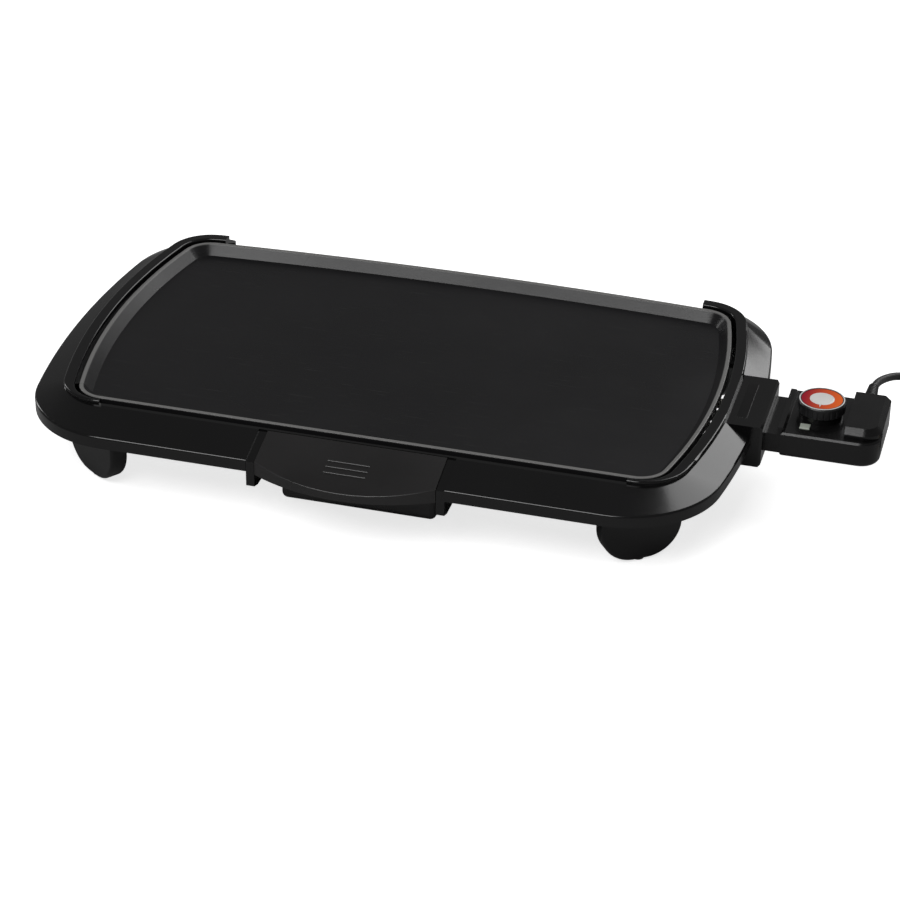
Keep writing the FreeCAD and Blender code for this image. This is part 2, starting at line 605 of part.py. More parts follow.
foot_low = size("foot_lift")
for label, x, y, sign_x, sign_y in foot_spots:
    half, curve, top = size("foot_half"), size("foot_curve"), lug_low - foot_low
    body = doc.addObject("PartDesign::Body", "foot_form_" + label)
    plane = [item for item in body.Origin.OriginFeatures if item.Role == "XZ_Plane"][0]
    sketch = body.newObject("Sketcher::SketchObject", "foot_sketch_" + label)
    sketch.AttachmentSupport = [(plane, "")]
    sketch.MapMode = "FlatFace"
    r, w, t = curve.value, half.value, top.value
    quarter = math.pi / 2
    outline = [
        Part.LineSegment(Vec(-w, t, 0), Vec(-w, r, 0)),
        Part.ArcOfCircle(Part.Circle(Vec(-w + r, r, 0), Vec(0, 0, 1), r), 2 * quarter, 3 * quarter),
        Part.LineSegment(Vec(-w + r, 0, 0), Vec(w - r, 0, 0)),
        Part.ArcOfCircle(Part.Circle(Vec(w - r, r, 0), Vec(0, 0, 1), r), 3 * quarter, 4 * quarter),
        Part.LineSegment(Vec(w, r, 0), Vec(w, t, 0)),
        Part.LineSegment(Vec(w, t, 0), Vec(-w, t, 0)),
    ]
    bound_sketch(sketch, outline, [
        ("Tangent", 0, 2, 1, 1), ("Tangent", 1, 2, 2, 1), ("Tangent", 2, 2, 3, 1), ("Tangent", 3, 2, 4, 1),
        ("Coincident", 4, 2, 5, 1), ("Coincident", 5, 2, 0, 1), ("Vertical", 0), ("Vertical", 4),
        ("Horizontal", 5), ("Radius", 1, curve), ("Equal", 1, 3), ("DistanceY", -1, 1, 5, 1, top),
        ("DistanceX", -1, 1, 0, 1, -half), ("DistanceX", -1, 1, 4, 2, half), ("DistanceY", -1, 1, 2, 1, as_size(0)),
    ])
    pad = body.newObject("PartDesign::Pad", "foot_pad_feature_" + label)
    pad.Profile = sketch
    bind(pad, Length=size("foot_thick"))
    thick_half = size("foot_thick") * 0.5
    bore = rod("foot_bore_" + label, size("bore_radius"), size("bore_depth"), (0, 0, -1))
    pilot = rod("foot_pilot_" + label, screw_radius, lug_low, (0, 0, 0))
    place(body, 0, thick_half, 0)
    rounded = soften("foot_round_" + label, body, "Fillet", as_size(3), lambda edge: abs(
        edge.Vertexes[0].Y - edge.Vertexes[-1].Y) < 1e-6 and not level_at(top)(edge))
    solid = cut("foot_solid_" + label, rounded, bore, pilot)
    angle = -sign_x * sign_y * size("foot_angle").value
    place(solid, x, y, foot_low, FreeCAD.Rotation(Vec(0, 0, 1), angle))
    node("foot_" + label, solid)
    foot_pad = turned("foot_pad_" + label, [(0, 0), (size("pad_radius"), 0), (size("pad_radius"), foot_low),
                                            (size("bore_radius"), foot_low), (size("bore_radius"), foot_low + 7),
                                            (0, foot_low + 7)])
    place(foot_pad, x, y, 0)
    node("foot_pad_" + label, foot_pad)
head_seat = foot_low + size("bore_depth") - 1
foot_screws = [screw("foot_screw_" + label, screw_radius, lug_top - head_seat - 0.5, (x, y, head_seat))
               for label, x, y, sign_x, sign_y in foot_spots]
node("foot_screws", group("foot_screws", *foot_screws))

# tray guides

recess = size("guide_recess")
guide_low, ledge_top = size("guide_foot"), size("guide_foot") + size("ledge_thick")
for side, sign in (("left", -1), ("right", 1)):
    section = [(front_edge + 0.4, ledge_top), (front_edge + 0.4, edge_height - recess),
               (inner_wall_front - 1.5, land_top - recess), (inner_wall_front, land_top - recess),
               (inner_wall_front, lug_top), (bin_rear - 4, lug_top), (bin_rear - 4, guide_low),
               (front_edge + 8, guide_low)]
    web = padded("guide_web_" + side, "YZ_Plane", section, size("guide_thick"))
    place(web, guide_x0 if sign > 0 else -guide_x1, 0, 0)
    reach = guide_x0 - size("ledge_reach")
    span = (reach, guide_x0 + 1) if sign > 0 else (-guide_x0 - 1, -reach)
    ledge = box("guide_ledge_" + side, span, (inner_wall_front + 2, bin_rear - 4), (guide_low, ledge_top))
    hole = rod("guide_hole_" + side, 1.5, 20, (guide_mid * sign, guide_screw_y, guide_low - 1))
    node("tray_guide_" + side, cut("tray_guide_" + side, fuse("guide_" + side, web, ledge), hole))
guide_screws = [screw("guide_screw_%d" % index, 1.5, 17, (x, guide_screw_y, guide_low))
                for index, x in enumerate((-guide_mid, guide_mid))]
node("guide_screws", group("guide_screws", *guide_screws))

# drip tray

tray_half, tray_wall = size("tray_half"), size("tray_wall")
face_back = inner_wall_front - 0.4
lip_low = skirt_low - size("lip_drop")
run = front_edge + half_width + gap + size("front_land")
pitch = (land_top.value - edge_height.value) / abs(run.value)
slope_z = [land_top - 0.3, edge_height - 0.3]


def face_section(drop, low):
    """The face's side view: a slope in line with the frame's front bevel."""
    beyond = tray_front - 4
    far_z = slope_z[1] - (front_edge - beyond) * pitch
    return [(beyond, low), (beyond, far_z - drop), (front_edge, slope_z[1] - drop),
            (-(half_width + gap + size("front_land")), slope_z[0] - drop), (face_back, slope_z[0] - drop),
            (face_back, low)]


bow = size("tray_bow")
bow_y = tray_front + bow
plan_bar = rod("tray_bow_bar", bow, 60, (0, bow_y, lip_low - 5))
plan_room = rod("tray_bow_room", bow - tray_wall, 60, (0, bow_y, lip_low - 5))
face_slab = slab_x("tray_face_slab", face_section(as_size(0), lip_low), -tray_half, tray_half)
face_block = common("tray_face_block", face_slab, plan_bar)
room_slab = slab_x("tray_room_slab", face_section(tray_wall, lip_low + tray_wall),
                   -tray_half + tray_wall, tray_half - tray_wall)
face_room = common("tray_face_room", room_slab, plan_room)
face_rounded = soften("tray_face_round", face_block, "Fillet", as_size(1.2),
                      lambda edge: edge.BoundBox.YMax < front_edge.value + 2 and
                      edge.BoundBox.ZMin > lip_low.value + 1 and edge.BoundBox.XLength > 50)
room_back = box("tray_room_back", (-tray_half + tray_wall, tray_half - tray_wall),
                (face_back - 3, face_back + 1), (lip_low + tray_wall, slope_z[0] - tray_wall))
face_shell = cut("tray_face_shell", face_rounded, face_room, room_back)
bin_half, bin_top = size("bin_half"), size("bin_top")
bin_block = soften("bin_round", box("bin_block", (-bin_half, bin_half), (bin_front, bin_rear),
                                    (size("bin_floor"), bin_top)), "Fillet", as_size(5),
                   lambda edge: not level_at(bin_top)(edge))
bin_room = soften("bin_room_round", box("bin_room", (-bin_half + tray_wall, bin_half - tray_wall),
                                        (bin_front + tray_wall, bin_rear - tray_wall),
                                        (size("bin_floor") + tray_wall, bin_top + 5)), "Fillet", as_size(3.5),
                  lambda edge: not level_at(bin_top + 5)(edge))
neck_web = box("tray_neck", (-bin_half + 6, bin_half - 6), (bin_front, bin_front + tray_wall),
               (bin_top - 8, lip_low + tray_wall))
flange_low = ledge_top + 0.3
flanges = [box("tray_flange_%d" % index, span, (bin_front + 6, bin_rear - 6),
               (flange_low, flange_low + size("flange_thick")))
           for index, span in enumerate(((-guide_x0 + 1.1, -bin_half + 1), (bin_half - 1, guide_x0 - 1.1)))]
bars = []
for index in range(3):
    y = front_edge + 1 + size("bar_pitch") * index
    z = slope_z[1] + (y - front_edge) * pitch - 0.4
    bars.append(rod("grip_bar_%d" % index, size("bar_radius"), size("bar_half") * 2,
                    (-size("bar_half"), y, z), "+x"))
neck_plate = box("tray_neck_plate", (-bin_half + 6, bin_half - 6), (face_back - 3, bin_front + tray_wall),
                 (lip_low, lip_low + tray_wall))
drip_tray = fuse("drip_tray", face_shell, cut("bin_shell", bin_block, bin_room), neck_web, neck_plate, *flanges,
                 *bars)
node("drip_tray", drip_tray)

# socket housing

socket_top = rim_top - size("socket_drop")
socket_low, socket_half = size("socket_low"), size("socket_half")
housing = soften("socket_outer", box("socket_block", (socket_x0, socket_x1), (-socket_half, socket_half),
                                     (socket_low, socket_top)), "Chamfer", as_size(1.8),
                 lambda edge: all(vertex.X > socket_x1.value - 1e-5 for vertex in edge.Vertexes))
housing_room = box("socket_room_inside", (socket_x0 + wall, socket_x1 - wall),
                   (-socket_half + wall, socket_half - wall), (socket_low + wall, socket_top - wall))
play = size("mouth_play")
neck_half, neck_top = size("neck_half"), size("neck_top")
mouth = box("socket_mouth", (socket_x1 - wall - 1, socket_x1 + 1), (-neck_half - play, neck_half + play),
            (size("probe_low") - play, neck_top + play))
socket_holes = [rod("socket_pin_hole_%d" % index, radius, 6, (socket_x0 - 1, y, axis_z), "+x")
                for index, (y, radius) in enumerate(((-pin_y, size("pin_radius") + 0.6),
                                                     (pin_y, size("pin_radius") + 0.6),
                                                     (as_size(0), sleeve_bore + 0.3)))]
screw_posts = [rod("socket_post_%d" % index, 3.4, 10, (socket_x0, y, socket_screw_z), "+x")
               for index, y in enumerate((-socket_screw_y, socket_screw_y))]
post_holes = [rod("socket_post_hole_%d" % index, 1.5, 9, (socket_x0 - 1, y, socket_screw_z), "+x")
              for index, y in enumerate((-socket_screw_y, socket_screw_y))]
badge_x = socket_x0 + 7
badge_half = size("badge_length") * 0.5
badge_seat = box("badge_seat", (badge_x, badge_x + size("badge_width")), (-badge_half, badge_half),
                 (socket_top - size("badge_thick"), socket_top + 1))
socket_housing = cut("socket_housing", fuse("socket_joined", cut("socket_hollow", housing, housing_room),
                                            *screw_posts), mouth, badge_seat, *socket_holes, *post_holes)
node("socket_housing", socket_housing)
badge_block = box("badge_block", (badge_x, badge_x + size("badge_width")), (-badge_half, badge_half),
                  (socket_top - size("badge_thick"), socket_top + 0.3))
node("badge_plate", soften("badge_plate", badge_block, "Fillet", as_size(0.25), level_at(socket_top + 0.3)))
socket_screws = [screw("socket_screw_%d" % index, 1.5, 15.2, (half_length + gap - 1.3, y, socket_screw_z), "+x")
                 for index, y in enumerate((-socket_screw_y, socket_screw_y))]
node("socket_screws", group("socket_screws", *socket_screws))

# temperature probe: shells

probe_half, probe_low = size("probe_half"), size("probe_low")
deck = size("deck_height")
round_big = size("probe_round")


def right_corner(front):
    """A test for the upright edge at the right end, at the front or at the rear."""
    return lambda edge: upright(edge) and edge.Vertexes[0].X > probe_x1.value - 8 and (
        edge.Vertexes[0].Y < 0) == front


def right_rim(height):
    """A test for the top edges along the right end and the front."""
    return lambda edge: level_at(height)(edge) and (
        edge.BoundBox.XMax > probe_x1.value - 0.01 or edge.BoundBox.YMax < -size("block_front").value + 0.01)


probe_box = box("probe_box", (probe_x0, probe_x1), (-probe_half, probe_half), (probe_low, deck))
probe_form = soften("probe_front_corner", probe_box, "Fillet", round_big, right_corner(True))
probe_form = soften("probe_rear_corner", probe_form, "Fillet", size("probe_rear_round"), right_corner(False))
probe_form = soften("probe_top", probe_form, "Chamfer", size("deck_chamfer"), level_at(deck))
probe_form = soften("probe_base", probe_form, "Fillet", as_size(4), level_at(probe_low))
block_x1 = probe_x1
block_x0 = block_x1 - size("block_length")
block_front, block_top, rim_cut = size("block_front"), size("block_height"), size("probe_chamfer")
block_box = box("block_box", (block_x0, block_x1), (-block_front, probe_half), (deck - 10, block_top))
block_form = soften("block_front_corner", block_box, "Fillet", size("block_round"), right_corner(True))
block_form = soften("block_rear_corner", block_form, "Fillet", size("probe_rear_round"), right_corner(False))
block_form = soften("block_form", block_form, "Chamfer", rim_cut, right_rim(block_top))
neck_form = box("neck_form", (neck_x0, probe_x0 + 6), (-neck_half, neck_half), (probe_low, neck_top))
dial_boss = rod("dial_boss", size("knob_radius") - 1.6, size("boss_top") - deck + 2, (knob_x, 0, deck - 2))
collar_top = deck + 2.4
collar_bar = box("probe_collar_bar", (probe_x0 - 3, probe_x0 + 3), (-probe_half + 4, probe_half - 4),
                 (probe_low + 2, collar_top))
collar = soften("probe_collar", collar_bar, "Chamfer", as_size(2), lambda edge: level_at(collar_top)(edge) and
                edge.BoundBox.XMin > probe_x0.value + 2)
outer_form = fuse("probe_outer", probe_form, block_form, neck_form, dial_boss, collar)
inner_box = box("probe_inner_box", (probe_x0 + shell, probe_x1 - shell), (-probe_half + shell, probe_half - shell),
                (probe_low + shell, deck - shell))
inner_form = soften("probe_inner_corner", inner_box, "Fillet", round_big - shell, right_corner(True))
inner_block = soften("block_inside", box("block_room", (block_x0 + shell, block_x1 - rim_cut),
                                         (-block_front + rim_cut, probe_half - shell),
                                         (deck - 8, block_top - shell)), "Fillet", as_size(8), right_corner(True))
inner_neck = box("neck_inside", (neck_x0 + shell, probe_x0 + 8), (-neck_half + shell, neck_half - shell),
                 (probe_low + shell, neck_top - shell))
inner_all = fuse("probe_inner", inner_form, inner_block, inner_neck)
post_spots = [(probe_x0 + 8, -probe_half + 9), (probe_x0 + 8, probe_half - 9), (probe_x1 - 10, as_size(0))]
post_tops = [deck, deck, block_top]
posts = [rod("probe_post_%d" % index, 3.6, post_tops[index] - probe_low - 2, (x, y, probe_low + 1))
         for index, (x, y) in enumerate(post_spots)]
shaft_hole = rod("shaft_hole", size("shaft_radius") + 0.4, 30, (knob_x, 0, deck - 12))
lens_x, lens_y = probe_x0 + size("lens_x"), -size("lens_y")
lens_half_x, lens_half_y = size("lens_length") * 0.5, size("lens_width") * 0.5
lens_span = ((lens_x - lens_half_x, lens_x + lens_half_x), (lens_y - lens_half_y, lens_y + lens_half_y))
lens_hole = box("lens_hole", *lens_span, (deck - 6, deck + 3))
contact_radius = size("pin_radius") + size("pin_play") + size("contact_wall")
nose_holes = [rod("nose_hole_%d" % index, radius, shell + 4, (neck_x0 - 2, y, axis_z), "+x")
              for index, (y, radius) in enumerate(((-pin_y, contact_radius + 0.1), (pin_y, contact_radius + 0.1),
                                                   (as_size(0), size("rod_radius") + 0.05)))]
exit_x, exit_z = probe_x1 - size("cord_exit_x"), size("cord_exit_z")
exit_hole = rod("exit_hole", size("relief_radius") - 1.4, shell + 6, (exit_x, probe_half - shell - 2, exit_z), "+y")
screw_runs = [rod("probe_screw_run_%d" % index, 1.5, 17, (x, y, probe_low - 1))
              for index, (x, y) in enumerate(post_spots)]
screw_seats = [rod("probe_screw_seat_%d" % index, 3, 2.5, (x, y, probe_low - 1))
               for index, (x, y) in enumerate(post_spots)]
probe_whole = cut("probe_whole", fuse("probe_with_posts", cut("probe_hollow", outer_form, inner_all), *posts),
                  shaft_hole, lens_hole, exit_hole, *nose_holes, *screw_runs, *screw_seats)
everywhere = ((neck_x0 - 10, probe_x1 + 10), (-probe_half - 10, probe_half + 10))
upper_half = box("upper_half", *everywhere, (axis_z, size("block_height") + 10))
lower_half = box("lower_half", *everywhere, (probe_low - 10, axis_z))
node("probe_upper_shell", common("probe_upper_shell", probe_whole, upper_half))
node("probe_lower_shell", common("probe_lower_shell", probe_whole, lower_half))
probe_screws = [screw("probe_screw_%d" % index, 1.5, 13, (x, y, probe_low + 1.5), "+z")
                for index, (x, y) in enumerate(post_spots)]
node("probe_screws", group("probe_screws", *probe_screws))

# temperature probe: inside

block_x = neck_x0 + shell + 0.8
carrier = box("contact_carrier_block", (block_x, block_x + 14), (-neck_half + shell + 0.3, neck_half - shell - 0.3),
              (probe_low + shell, neck_top - shell))
carrier_holes = [rod("carrier_hole_%d" % index, radius, 16, (block_x - 1, y, axis_z), "+x")
                 for index, (y, radius) in enumerate(((-pin_y, contact_radius), (pin_y, contact_radius),
                                                      (as_size(0), size("rod_radius"))))]
node("contact_carrier", cut("contact_carrier", carrier, *carrier_holes))
contacts = []
for index, y in enumerate((-pin_y, pin_y)):
    bar = rod("contact_bar_%d" % index, contact_radius, size("contact_length"), (neck_x0 + shell, y, axis_z), "+x")
    bore = rod("contact_bore_%d" % index, size("pin_radius") + size("pin_play"), size("contact_length") - 2,
               (neck_x0 + shell - 1, y, axis_z), "+x")
    contacts.append(cut("contact_%d" % index, bar, bore))
node("receptacle_contacts", group("receptacle_contacts", *contacts))
rod_radius = size("rod_radius")
bracket_x = block_x + 14
rod_start = bracket_x - size("rod_length")
sensing_rod = turned("sensing_rod", [(0, 0), (0, rod_radius - 0.8), (0.8, rod_radius), (size("rod_length"), rod_radius),
                                     (size("rod_length"), 5), (size("rod_length") + 2, 5),
                                     (size("rod_length") + 2, 0)], "H_Axis")
place(sensing_rod, rod_start, 0, axis_z)
node("sensing_rod", sensing_rod)
bracket_section = [(0, probe_low + shell), (46, probe_low + shell), (46, probe_low + shell + 1),
                   (2, probe_low + shell + 1), (2, 56.2), (46, 56.2), (46, 57.2), (0, 57.2)]
bracket = padded("thermostat_bracket_bar", "XZ_Plane", bracket_section, 24)
place(bracket, bracket_x, 12, 0)
bracket_hole = rod("bracket_hole", size("shaft_radius") + size("shaft_play"), 4, (knob_x, 0, 55))
flange_room = rod("flange_room", 5, 4, (bracket_x, 0, axis_z), "+x")
node("thermostat_bracket", cut("thermostat_bracket", bracket, bracket_hole, flange_room))
bimetal = box("bimetal", (bracket_x + 4, bracket_x + 40), (-10, -2), (49.4, 50.2))
node("bimetal_strip", fuse("bimetal_strip", bimetal, box("bimetal_foot", (bracket_x + 4, bracket_x + 9), (-10, -2),
                                                         (47.2, 49.6))))
blades = [box("blade_%d" % index, (bracket_x + 5, bracket_x + 36), (2, 9), (low, low + 0.5))
          for index, low in enumerate((50.2, 52.4))]
stack = rod("insulator_stack_bar", 2.4, 6.9, (bracket_x + 9, 5.5, 47.2))
stack_slots = [box("stack_slot_%d" % index, (bracket_x + 5, bracket_x + 36), (2, 9), (low, low + 0.5))
               for index, low in enumerate((50.2, 52.4))]
node("contact_blades", group("contact_blades", *blades))
node("insulator_discs", cut("insulator_discs", stack, *stack_slots))
lamp = rod("neon_lamp_bulb", 2.2, 9, (lens_x - 3, lens_y, deck - shell - 4), "+x")
node("neon_lamp", soften("neon_lamp", lamp, "Fillet", as_size(1.6), lambda edge: edge.BoundBox.XLength < 1e-6))
lens_block = box("lens_block", *lens_span, (deck - shell, deck + 0.8))
node("indicator_lens", soften("indicator_lens", lens_block, "Fillet", as_size(0.7), level_at(deck + 0.8)))

# control knob

knob_radius, knob_base, knob_top = size("knob_radius"), size("knob_base"), size("knob_height")
shaft_radius, shaft_top = size("shaft_radius"), size("knob_height") - 3
thermostat_shaft = turned("thermostat_shaft", [(0, 53.2), (5, 53.2), (5, 56), (shaft_radius, 56),
                                               (shaft_radius, shaft_top), (0, shaft_top)])
place(thermostat_shaft, knob_x, 0, 0)
node("thermostat_shaft", thermostat_shaft)
ring_radius, cap_radius = size("ring_radius"), size("cap_radius")
ring_floor = knob_top - 0.8
knob_turn = turned("knob_turn", [(shaft_radius, knob_base), (knob_radius, knob_base), (knob_radius, knob_top - 1),
                                 (knob_radius - 1, knob_top), (ring_radius, knob_top), (ring_radius, ring_floor),
                                 (0, ring_floor), (0, shaft_top), (shaft_radius, shaft_top)])
flute_count = 24
flutes = []
for index in range(flute_count):
    angle = 2 * math.pi * index / flute_count
    distance = knob_radius + 0.7
    flutes.append(rod("flute_%d" % index, 1.2, knob_top - knob_base - 2.2,
                      (distance * math.cos(angle), distance * math.sin(angle), knob_base - 0.5)))
knob_solid = cut("knob_solid", knob_turn, fuse("flutes", *flutes))
place(knob_solid, knob_x, 0, 0)
node("control_knob", knob_solid)
dial_ring = turned("dial_ring", [(cap_radius, ring_floor), (ring_radius, ring_floor), (ring_radius, knob_top - 0.2),
                                 (cap_radius, knob_top - 0.2)])
place(dial_ring, knob_x, 0, 0)
node("dial_ring", dial_ring)
knob_cap = turned("knob_cap", [(0, ring_floor), (cap_radius, ring_floor), (cap_radius, knob_top - 0.1),
                               (cap_radius - 1.2, knob_top + 0.3), (0, knob_top + 0.5)])
place(knob_cap, knob_x, 0, 0)
node("knob_cap", knob_cap)

# supply cord

relief_length, relief_radius, cord_radius = size("relief_length"), size("relief_radius"), size("cord_radius")
relief_section = [(0, 0), (relief_radius - 1.4, 0), (relief_radius - 1.4, shell), (relief_radius, shell),
                  (relief_radius, shell + 3), (cord_radius + 0.9, relief_length + shell), (0, relief_length + shell)]
relief = turned("strain_relief", relief_section)
place(relief, exit_x, probe_half - shell, exit_z, TURNS["+y"])
node("strain_relief", relief)

cord_start = Vec(exit_x.value, probe_half.value + relief_length.value + 0.8, exit_z.value)
radius = cord_radius.value
coil_radius = size("coil_radius").value
coil_half = size("coil_turn_width").value / 2
tie_thick = 0.8
coil_low = tie_thick
coil_top = coil_low + size("coil_height").value
coil_x = cord_start.x + 82
coil_y = 95
entry = Vec(coil_x + 3, coil_y + coil_radius + 3.3, coil_top - radius - 0.8)
route = [cord_start,
         cord_start + Vec(2.5, 20, -4),
         cord_start + Vec(13, 43, -10),
         cord_start + Vec(31, 63, -21),
         cord_start + Vec(57, 73, -40),
         entry]


def largest_bends(points):
    """The bend radius at each inner point: 0.45 of its shorter run over the tangent of half its turn."""
    bends = []
    for before, corner, after in zip(points, points[1:], points[2:]):
        shorter = min((corner - before).Length, (after - corner).Length)
        turn = (corner - before).getAngle(after - corner)
        bends.append(0.45 * shorter / math.tan(turn / 2))
    return bends


bends = largest_bends(route)
print("cord bend radii", [round(bend) for bend in bends])
cord_shape, cord_length = tube(route, radius, bends)
power_cord = shaped("power_cord", cord_shape)
node("power_cord", power_cord)

# the put-away coil is one ring that holds its turns, and the plug lies beside it
coil_turns = 3.25
tail_length = 28
plug_mid_z = 7.3
tail_start = Vec(coil_x + coil_radius + 2, coil_y, entry.z)
tail_shape = Part.makeCylinder(radius, tail_length - 0.4, tail_start, Vec(0, -tail_length, plug_mid_z - tail_start.z))
cord_tail = shaped("cord_tail", tail_shape)
print("cord length %.0f mm: run %.0f, coil %.0f, tail %.0f" % (
    cord_length + coil_turns * 2 * math.pi * coil_radius + tail_length, cord_length,
    coil_turns * 2 * math.pi * coil_radius, tail_length))
ring_section = [(coil_radius - coil_half, coil_low), (coil_radius + coil_half, coil_low),
                (coil_radius + coil_half, coil_top), (coil_radius - coil_half, coil_top)]
coil_ring = turned("coil_ring", ring_section)
coil_round = soften("coil_round", coil_ring, "Fillet", as_size(radius), lambda edge: True)
place(coil_round, coil_x, coil_y, 0)
tie_bar = box("tie_bar", (coil_x - coil_radius - coil_half - tie_thick, coil_x - coil_radius + coil_half + tie_thick),
              (coil_y - 4, coil_y + 4), (0, coil_top + tie_thick))
node("coil_tie", cut("coil_tie", tie_bar, coil_round))
node("cord_coil", cut("cord_coil", coil_round, shaped("coil_way_in", cord_shape), shaped("coil_way_out", tail_shape)))
node("cord_tail", cord_tail)

plug_y = coil_y - tail_length
plug_length, plug_half_wide, plug_half_thick = 25, 12.5, 7.3
plug_section = [(-4.5, 0), (4.5, 0), (6, -9), (plug_half_wide, -12), (plug_half_wide, -12 - plug_length + 3),
                (plug_half_wide - 2, -12 - plug_length), (2 - plug_half_wide, -12 - plug_length),
                (-plug_half_wide, -12 - plug_length + 3), (-plug_half_wide, -12), (-6, -9)]
plug_form = padded("plug_form", "XY_Plane", plug_section, 2 * plug_half_thick)
place(plug_form, tail_start.x, plug_y, plug_mid_z - plug_half_thick)
plug_round = soften("plug_round", plug_form, "Fillet", as_size(2.2), lambda edge: edge.BoundBox.ZLength < 1e-6)
blades = []
blade_roots = []
for index, offset in enumerate((-6.35, 6.35)):
    span = (tail_start.x + offset - 0.75, tail_start.x + offset + 0.75)
    high = (plug_mid_z - 3.2, plug_mid_z + 3.2)
    blade = box("plug_blade_%d" % index, span, (plug_y - 12 - plug_length - 17, plug_y - 12 - plug_length + 6), high)
    blade_hole = rod("blade_hole_%d" % index, 1.6, 4,
                     (tail_start.x + offset - 2, plug_y - 12 - plug_length - 13.5, plug_mid_z), "+x")
    blades.append(cut("blade_%d_cut" % index, blade, blade_hole))
    blade_roots.append(box("blade_root_%d" % index, span,
                           (plug_y - 12 - plug_length - 2, plug_y - 12 - plug_length + 6), high))
node("plug_body", cut("plug_body", plug_round, *blade_roots))
node("plug_blades", group("plug_blades", *blades))

doc.recompute()
bad = [item.Label for item in doc.Objects if "Invalid" in item.State or "Error" in item.State]
if bad:
    raise ValueError("failed objects: %s" % bad)
for item in nodes:
    if item.Shape.isNull() or not item.Shape.isValid():
        raise ValueError("bad shape: %s" % item.Label)
os.makedirs("parts", exist_ok=True)
for item in nodes:
    item.Shape.exportStep("parts/%s.step" % item.Label)
    span = item.Shape.BoundBox
    print("%-22s solids %d volume %9.0f  x %.1f %.1f  y %.1f %.1f  z %.1f %.1f" % (
        item.Label, len(item.Shape.Solids), item.Shape.Volume, span.XMin, span.XMax, span.YMin, span.YMax,
        span.ZMin, span.ZMax))
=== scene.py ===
import bpy
import bmesh
import math
from mathutils import Matrix, Vector


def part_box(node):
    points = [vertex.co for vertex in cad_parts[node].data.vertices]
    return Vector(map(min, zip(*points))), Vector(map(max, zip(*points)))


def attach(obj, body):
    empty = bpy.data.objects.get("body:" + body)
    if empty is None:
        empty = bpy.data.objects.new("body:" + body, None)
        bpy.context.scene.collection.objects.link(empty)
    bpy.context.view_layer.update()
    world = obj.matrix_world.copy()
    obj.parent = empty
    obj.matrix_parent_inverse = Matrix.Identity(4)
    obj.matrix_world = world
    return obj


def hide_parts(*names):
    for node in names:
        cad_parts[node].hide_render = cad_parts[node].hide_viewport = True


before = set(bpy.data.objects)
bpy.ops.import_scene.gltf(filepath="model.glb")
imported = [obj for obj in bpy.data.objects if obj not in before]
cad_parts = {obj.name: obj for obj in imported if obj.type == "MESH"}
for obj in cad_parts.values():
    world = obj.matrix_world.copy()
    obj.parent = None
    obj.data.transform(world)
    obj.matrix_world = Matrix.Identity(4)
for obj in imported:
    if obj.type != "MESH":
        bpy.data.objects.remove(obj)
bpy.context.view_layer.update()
print("frame loaded:", len(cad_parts), "nodes")

plateLow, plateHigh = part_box("griddle_plate")
plateMiddle = Vector(((plateLow[0] + plateHigh[0]) / 2, (plateLow[1] + plateHigh[1]) / 2, 0))


def spot(x, y, z):  # millimetres from the middle of the plate, on the table, to metres in the frame
    return plateMiddle + Vector((x, y, z)) / 1000


def linkPiece(name, mesh):
    piece = bpy.data.objects.new(name, mesh)
    bpy.context.scene.collection.objects.link(piece)
    return piece


# shader effects shared by the finishes

def newGroup(name, inputs, outputs):
    group = bpy.data.node_groups.new(name, "ShaderNodeTree")
    for label, kind, value in inputs:
        socket = group.interface.new_socket(label, in_out="INPUT", socket_type=kind)
        socket.default_value = value
    for label, kind in outputs:
        group.interface.new_socket(label, in_out="OUTPUT", socket_type=kind)
    entry = group.nodes.new("NodeGroupInput")
    leave = group.nodes.new("NodeGroupOutput")
    return group, entry, leave


def mouldedSkin():  # fine texture of a moulded or cast skin: a bumped normal and an uneven value
    group, entry, leave = newGroup(
        "mouldedSkin",
        [("Scale", "NodeSocketFloat", 900.0), ("Depth", "NodeSocketFloat", 0.0002),
         ("Unevenness", "NodeSocketFloat", 14.0)],
        [("Normal", "NodeSocketVector"), ("Uneven", "NodeSocketFloat")])
    coords = group.nodes.new("ShaderNodeTexCoord")
    fine = group.nodes.new("ShaderNodeTexNoise")
    fine.inputs["Detail"].default_value = 3.0
    broad = group.nodes.new("ShaderNodeTexNoise")
    broad.inputs["Detail"].default_value = 4.0
    bump = group.nodes.new("ShaderNodeBump")
    bump.inputs["Strength"].default_value = 0.5
    link = group.links.new
    link(coords.outputs["Object"], fine.inputs["Vector"])
    link(coords.outputs["Object"], broad.inputs["Vector"])
    link(entry.outputs["Scale"], fine.inputs["Scale"])
    link(entry.outputs["Unevenness"], broad.inputs["Scale"])
    link(fine.outputs["Fac"], bump.inputs["Height"])
    link(entry.outputs["Depth"], bump.inputs["Distance"])
    link(bump.outputs["Normal"], leave.inputs["Normal"])
    link(broad.outputs["Fac"], leave.inputs["Uneven"])
    return group


